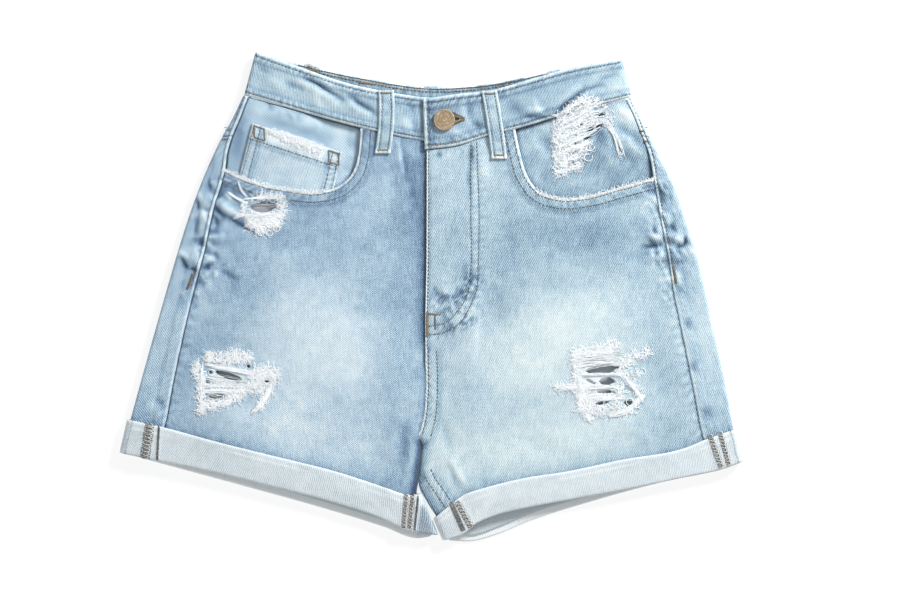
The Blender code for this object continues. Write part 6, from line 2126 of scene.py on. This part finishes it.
for side, sign in SIGN.items():
    scoop = fine(SCOOP[side])
    cloth = Surface(tables["front_" + side])
    seed = 201 if side == "right" else 202
    work = Sewing(seed)
    for depth in MOUTH_ROWS:
        work.row(cloth, offset(scoop, sign * depth), GREY)
    if side == "left":
        for line in (J_INNER, J_OUTER):
            near_fly = [p for p in fine(line) if p[0] < 13 and p[1] < 0]
            work.row(cloth, fine(line)[:1 - len(near_fly)], GREY + 0.08)
            work.row(cloth, near_fly, GOLD - 0.12, radius=0.42)
        for depth in CENTRE_ROWS:
            work.row(cloth, offset(fine(CENTRE_FRONT_SEAM), -depth), GREY + 0.05)
        work.row(cloth, offset(fine(FLY_EDGE), -2), GREY)
        for depth in INSEAM_ROWS:
            work.row(cloth, offset(fine(INSEAM), depth), GREY + 0.05)
        work.tack(cloth, -3.4, -13, -3.6, -33.5, 2, GOLD - 0.08)
        work.tack(cloth, -4, -14.6, 8, -15.2, 1.3, BROWN, 0.75)
        work.tack(cloth, 3, -15, 3.2, -27.5, 1.3, BROWN - 0.1, 0.75)
    sew("stitches_front_" + side, work, "front_" + side)

    strip = Surface(tables["back_" + side], tables["yoke_" + side], part=1)
    seam = [p for p in fine(seam_line(side)) if p[1] > SIDE_STITCH_END[side]]
    work = Sewing(seed + 2)
    work.row(strip, offset(seam, -sign * STRIP_ROW), GREY)
    ends = (-200.2, 19.2, -205, 5.7) if side == "right" else (203, 24.8, 205.4, 11.1)
    work.tack(Surface(tables["back_" + side], tables["front_" + side], part=1), *ends, 2.3, BROWN)
    under = Surface(tables["back_" + side], tables["yoke_" + side], part=-1, face=-1)
    yoke_line = fine(YOKE_SEAM[side])
    for depth in MOUTH_ROWS:
        work.row(under, offset(yoke_line, -sign * depth), BROWN)
        work.row(under, offset(fine(CENTRE_BACK), -sign * depth), BROWN)
    bars = ((-171, 139.5), (-173.6, 131.5)) if side == "right" else ((177, 139), (180.4, 130.5))
    for x, y in bars:
        work.tack(strip, x - 2, y, x + 2, y - sign * 0.6, 1.4, BROWN)
    sew("stitches_back_" + side, work, "back_" + side)

    cloth = Surface(tables["cuff_" + side], part=1)
    work = Sewing(seed + 4)
    for x0, y0, x1, y1, width, kind in OVERLOCKS[side]:
        if kind == "column":
            work.edging(cloth, x0, y0, x1, y1, width, 0.22)
            work.chained(cloth, x0, y0, x1, y1, width * 0.7, 0.95, 2.8, 0.48)
        else:
            work.edging(cloth, x0, y0, x1, y1, width, 0.22, 1.1)
    sew("overlock_cuff_" + side, work, "cuff_" + side, EDGE_THREAD)

    top, bottom = (np.array(p) for p in FRONT_LOOPS[side])
    cloth = Surface(tables["belt_loop_front_" + side])
    work = Sewing(seed + 6)
    for shift in (-LOOP_ROW, LOOP_ROW):
        work.row(cloth, loop_line(side, np.linspace(0.02, 0.98, 30), shift), GREY, 2.6, radius=0.30)
    for share, tone in ((0.055, GOLD - 0.1), (0.955, BROWN)):
        x, y = bottom + (top - bottom) * share
        work.tack(cloth, x - 4.6, y, x + 4.6, y, 1.3, tone, 0.75)
    sew("stitches_loop_front_" + side, work, "belt_loop_front_" + side)

    cx, cy, angle = BACK_POCKET_CENTRES[side]
    cloth = Surface(tables["back_pocket_" + side], face=-1)
    work = Sewing(seed + 8)
    half = BACK_POCKET_WIDTH / 2
    for inset in PATCH_ROWS:
        ring = ((-half + inset, -1), (-half + BACK_POCKET_TAPER + inset, -BACK_POCKET_SIDE + 0.2 * inset),
                (0, -BACK_POCKET_SIDE - BACK_POCKET_POINT + 1.1 * inset),
                (half - BACK_POCKET_TAPER - inset, -BACK_POCKET_SIDE + 0.2 * inset), (half - inset, -1))
        work.row(cloth, [turned(x, y, (cx, cy), angle) for x, y in ring], BROWN)
    work.row(cloth, [turned(x, -14, (cx, cy), angle) for x in (-half + 1, half - 1)], BROWN)
    sew("stitches_back_pocket_" + side, work, "back_pocket_" + side)

for name, (x, y, angle) in BACK_LOOPS.items():
    cloth = Surface(tables["belt_loop_back_" + name], face=-1)
    work = Sewing(211)
    for shift in (-LOOP_ROW, LOOP_ROW):
        reach = BACK_LOOP_LENGTH / 2 - 1
        ends = [turned(shift, end, (x, y), angle) for end in (-reach, reach)]
        work.row(cloth, ends, BROWN, 2.6, radius=0.30)
    sew("stitches_loop_back_" + name, work, "belt_loop_back_" + name)


BAND_EDGES = {
    "right": (WAIST_FRONT["right"], TOP_FRONT["right"]),
    "left": (WAIST_FRONT["left"], TOP_FRONT["left"]),
    "back": (WAIST_BACK, TOP_BACK),
}


def band_line(part, height, start, end):
    """A line along a part of the waistband at a height above its seam."""
    share, k = np.linspace(start, end, 220), height / BAND_HEIGHT
    low, high = (smooth(edge, share) for edge in BAND_EDGES[part])
    return low * (1 - k) + high * k


on_top = Surface(tables["band_top"])
overlap = Surface(tables["band_top"][tables["band_top"][:, U] < tables["waistband"][:, U].max() / 2])
outside_back = Surface(tables["waistband"], part=-1, face=-1)
inside_back = Surface(tables["waistband"], part=-1, face=1)
work = Sewing(221)
low_row, high_row = BAND_ROWS
low_left = band_line("left", low_row, 0, 0.985)
work.row(overlap, [p for p in low_left if p[0] > 47], BROWN - 0.08)
work.row(overlap, [p for p in low_left if p[0] < 47], GOLD - 0.08, radius=0.42)
work.row(on_top, band_line("right", low_row, 0, 0.99), BROWN - 0.08)
work.row(overlap, band_line("left", high_row, 0.01, 0.985), GREY + 0.04)
work.row(on_top, band_line("right", high_row, 0.01, 0.99), GREY + 0.04)
work.row(overlap, ((-2, 126.5), (-2.9, 145), (-3.4, 162.5)), GREY + 0.08)
for height in BAND_ROWS:
    work.row(outside_back, band_line("back", height, 0.02, 0.98), BROWN)
work.row(inside_back, band_line("back", high_row + 0.4, 0.03, 0.97), BROWN + 0.1, radius=0.5)
work.row(inside_back, band_line("back", BAND_HEIGHT - 1, 0.12, 0.80), GREY, 2.2, 0.95, 0.5)
for x, y in ((-55, 180.5), (-102, 191.5)):
    work.tack(inside_back, x - 6, y - 0.4, x + 6, y - 1.6, 1.5, GOLD)
eye_tip, eye_root = np.array((28.6, 148.9)), np.array((17.5, 148.9))
for start in (np.array((17.5, 154.4)), np.array((17.5, 143.6))):
    for inset, tone in ((0, GREY), (0.22, BROWN), (0.44, GOLD)):
        at = start + (eye_root - start) * inset
        work.tack(overlap, *at, *(eye_tip + (at - eye_tip) * 0.06), 1.3, tone, 0.6)
sew("stitches_waistband", work, "waistband")

work = Sewing(222)
cloth = Surface(tables["coin_pocket"])
top_outer, top_inner, low_inner, low_outer = (np.array(p) for p in COIN_CORNERS)
for inset in COIN_SIDE_ROWS:
    work.row(cloth, offset((top_outer, low_outer), inset), GREY + 0.05)
    work.row(cloth, offset((low_inner, top_inner), inset), GREY + 0.05)
work.row(cloth, offset((top_outer, top_inner), -COIN_HEM), BROWN)
for (x, y), (dx, dy) in (((-148.6, 143.2), (8.4, -2.8)), ((-86.2, 122.6), (8.2, -2.7))):
    corners = ((x, y), (x + dx, y + dy), (x + dx + 0.4, y + dy - 9.6), (x + 0.2, y - 9.6))
    for a, b in zip(corners, corners[1:] + corners[:1]):
        work.tack(cloth, *a, *b, 1.1, BROWN + 0.05, 0.75)
sew("stitches_coin_pocket", work, "coin_pocket")

for name, rip in RIPS.items():
    cloth = Surface(*(tables[node] for node in rip["on"]))
    sew(name + "_yarns", mend(name, rip, cloth), rip["on"][0], YARN)

fray = Yarns(301)
for side in SIGN:
    scoop = SCOOP[side]
    low = [p for p in fine(scoop) if abs(p[0]) > 88]
    fray.edge(Surface(tables["front_" + side]), low, 2.4, 0.9, 1.2, 0.2, -SIGN[side])
    for x, y in low[::3]:
        fray.tangle(Surface(tables["front_" + side]), x, y - 0.6, 3, 0.9, 0, 9, 3.4, 0.5, 0.2)
sew("pocket_edge_fray", fray, "front_right", YARN)

fray = Yarns(302)
cloth = Surface(tables["coin_pocket"])
fray.tangle(cloth, -114, 131.4, 25, 2.6, -18.4, 330, 4.6, 0.55, 0.25)
fray.tangle(cloth, -108, 126.8, 17, 2.4, -18.4, 120, 4.4, 0.60, 0.25)
fray.fringe(cloth, -138, 141.2, -90, 125.4, 0.2, 1, 2.6, 90, 1.2, 0.2)
sew("coin_pocket_fray", fray, "coin_pocket", YARN)

fray = Yarns(303)
fray.fringe(inside_back, -104.5, 193, -99.5, 192, 0, 1, 5, 12, 1.4, 0.2)
sew("waist_loose_ends", fray, "waistband")


# ---------------------------------------------------------------- cuts of the cloth

# Cut of each piece as it shows: width, length and flat area, in metres, and what it lies on.
CUTS = {
    "front_right": (0.262, 0.372, 0.071, ("back_right", "pocket_facing_right")),
    "front_left": (0.262, 0.378, 0.071, ("back_left", "pocket_facing_left")),
    **{"back_" + side: (0.300, 0.345, 0.076, ("back_pocket_" + side,)) for side in SIGN},
    **{"yoke_" + side: (0.220, 0.060, 0.0085, ("back_pocket_" + side,)) for side in SIGN},
    "waistband": (0.650, 0.041, None, ("front_right", "front_left")),
    **{"cuff_" + side: (0.530, 0.027, None, ("front_" + side, "back_" + side)) for side in SIGN},
    **{"pocket_facing_" + side: (0.132, 0.084, 0.0095, ("back_" + side,)) for side in SIGN},
    "coin_pocket": (0.080, 0.050, 0.0034, ("pocket_facing_right",)),
    **{"pocket_bag_" + side: (0.132, 0.068, 0.0070, ("back_" + side,)) for side in SIGN},
    **{"back_pocket_" + side: (0.128, 0.134, 0.0150, ("floor",)) for side in SIGN},
    "belt_loop_front_right": (0.013, 0.054, None, ("waistband", "front_right")),
    "belt_loop_front_left": (0.013, 0.058, None, ("waistband", "front_left")),
    **{"belt_loop_back_" + name: (0.013, 0.056, None, ("floor",)) for name in BACK_LOOPS},
}


FLOOR_HALF, FLOOR_Z = 2.5, -0.0005
FLOOR_GLOW = 0.80


def floor_plane():
    """A wide pale floor, just under the shorts."""
    mesh = bpy.data.meshes.new("floor")
    corners = [(x * FLOOR_HALF, y * FLOOR_HALF, 0) for x, y in ((-1, -1), (1, -1), (1, 1), (-1, 1))]
    mesh.from_pydata(corners, [], [(0, 1, 2, 3)])
    made_floor = bpy.data.objects.new("floor", mesh)
    made_floor.location.z = FLOOR_Z
    bpy.context.scene.collection.objects.link(made_floor)
    n = Nodes("pale_floor", 0.9)
    place = n.node("ShaderNodeTexCoord").outputs["Object"]
    n.shader.inputs["Emission Color"].default_value = (1, 1, 1, 1)
    n.shader.inputs["Emission Strength"].default_value = FLOOR_GLOW
    tone = n.ramp(n.lumps(place, (6, 6, 6)), ((0, (136, 136, 136)), (1, (140, 140, 140))))
    mesh.materials.append(n.finish(tone))
    return made_floor


floor = floor_plane()
for name, (width, length, area, below) in CUTS.items():
    under = [floor if other == "floor" else made[other] for other in below]


# ---------------------------------------------------------------- light and camera

def area_light(name, place, size, power):
    """A round lamp that looks at the middle of the shorts."""
    light = bpy.data.lights.new(name, "AREA")
    light.shape = "DISK"
    light.size = size
    light.energy = power
    lamp = bpy.data.objects.new(name, light)
    lamp.location = place
    lamp.rotation_euler = (-Vector(place)).to_track_quat("-Z", "Y").to_euler()
    bpy.context.scene.collection.objects.link(lamp)


world = bpy.data.worlds.new("studio")
world.use_nodes = True
background = world.node_tree.nodes["Background"]
background.inputs["Color"].default_value = (0.97, 0.985, 1, 1)
background.inputs["Strength"].default_value = 0.50
bpy.context.scene.world = world
area_light("key", (1.25, 1.35, 1.05), 0.6, 64)
area_light("fill", (-0.8, -1.6, 1.1), 1.2, 9)

# Straight down on the shorts, from as far away as makes them fill the frame as in the photograph.
CAMERA_PLACE = (0.01554, -0.00254, 2.107)

scene = bpy.context.scene
scene.view_settings.view_transform = "Standard"
camera = bpy.data.objects.new("camera", bpy.data.cameras.new("camera"))
camera.data.lens = 100
camera.data.sensor_width = 36
camera.data.clip_start = 0.05
camera.data.clip_end = 20
camera.location = CAMERA_PLACE
scene.collection.objects.link(camera)
scene.camera = camera

bpy.context.view_layer.update()
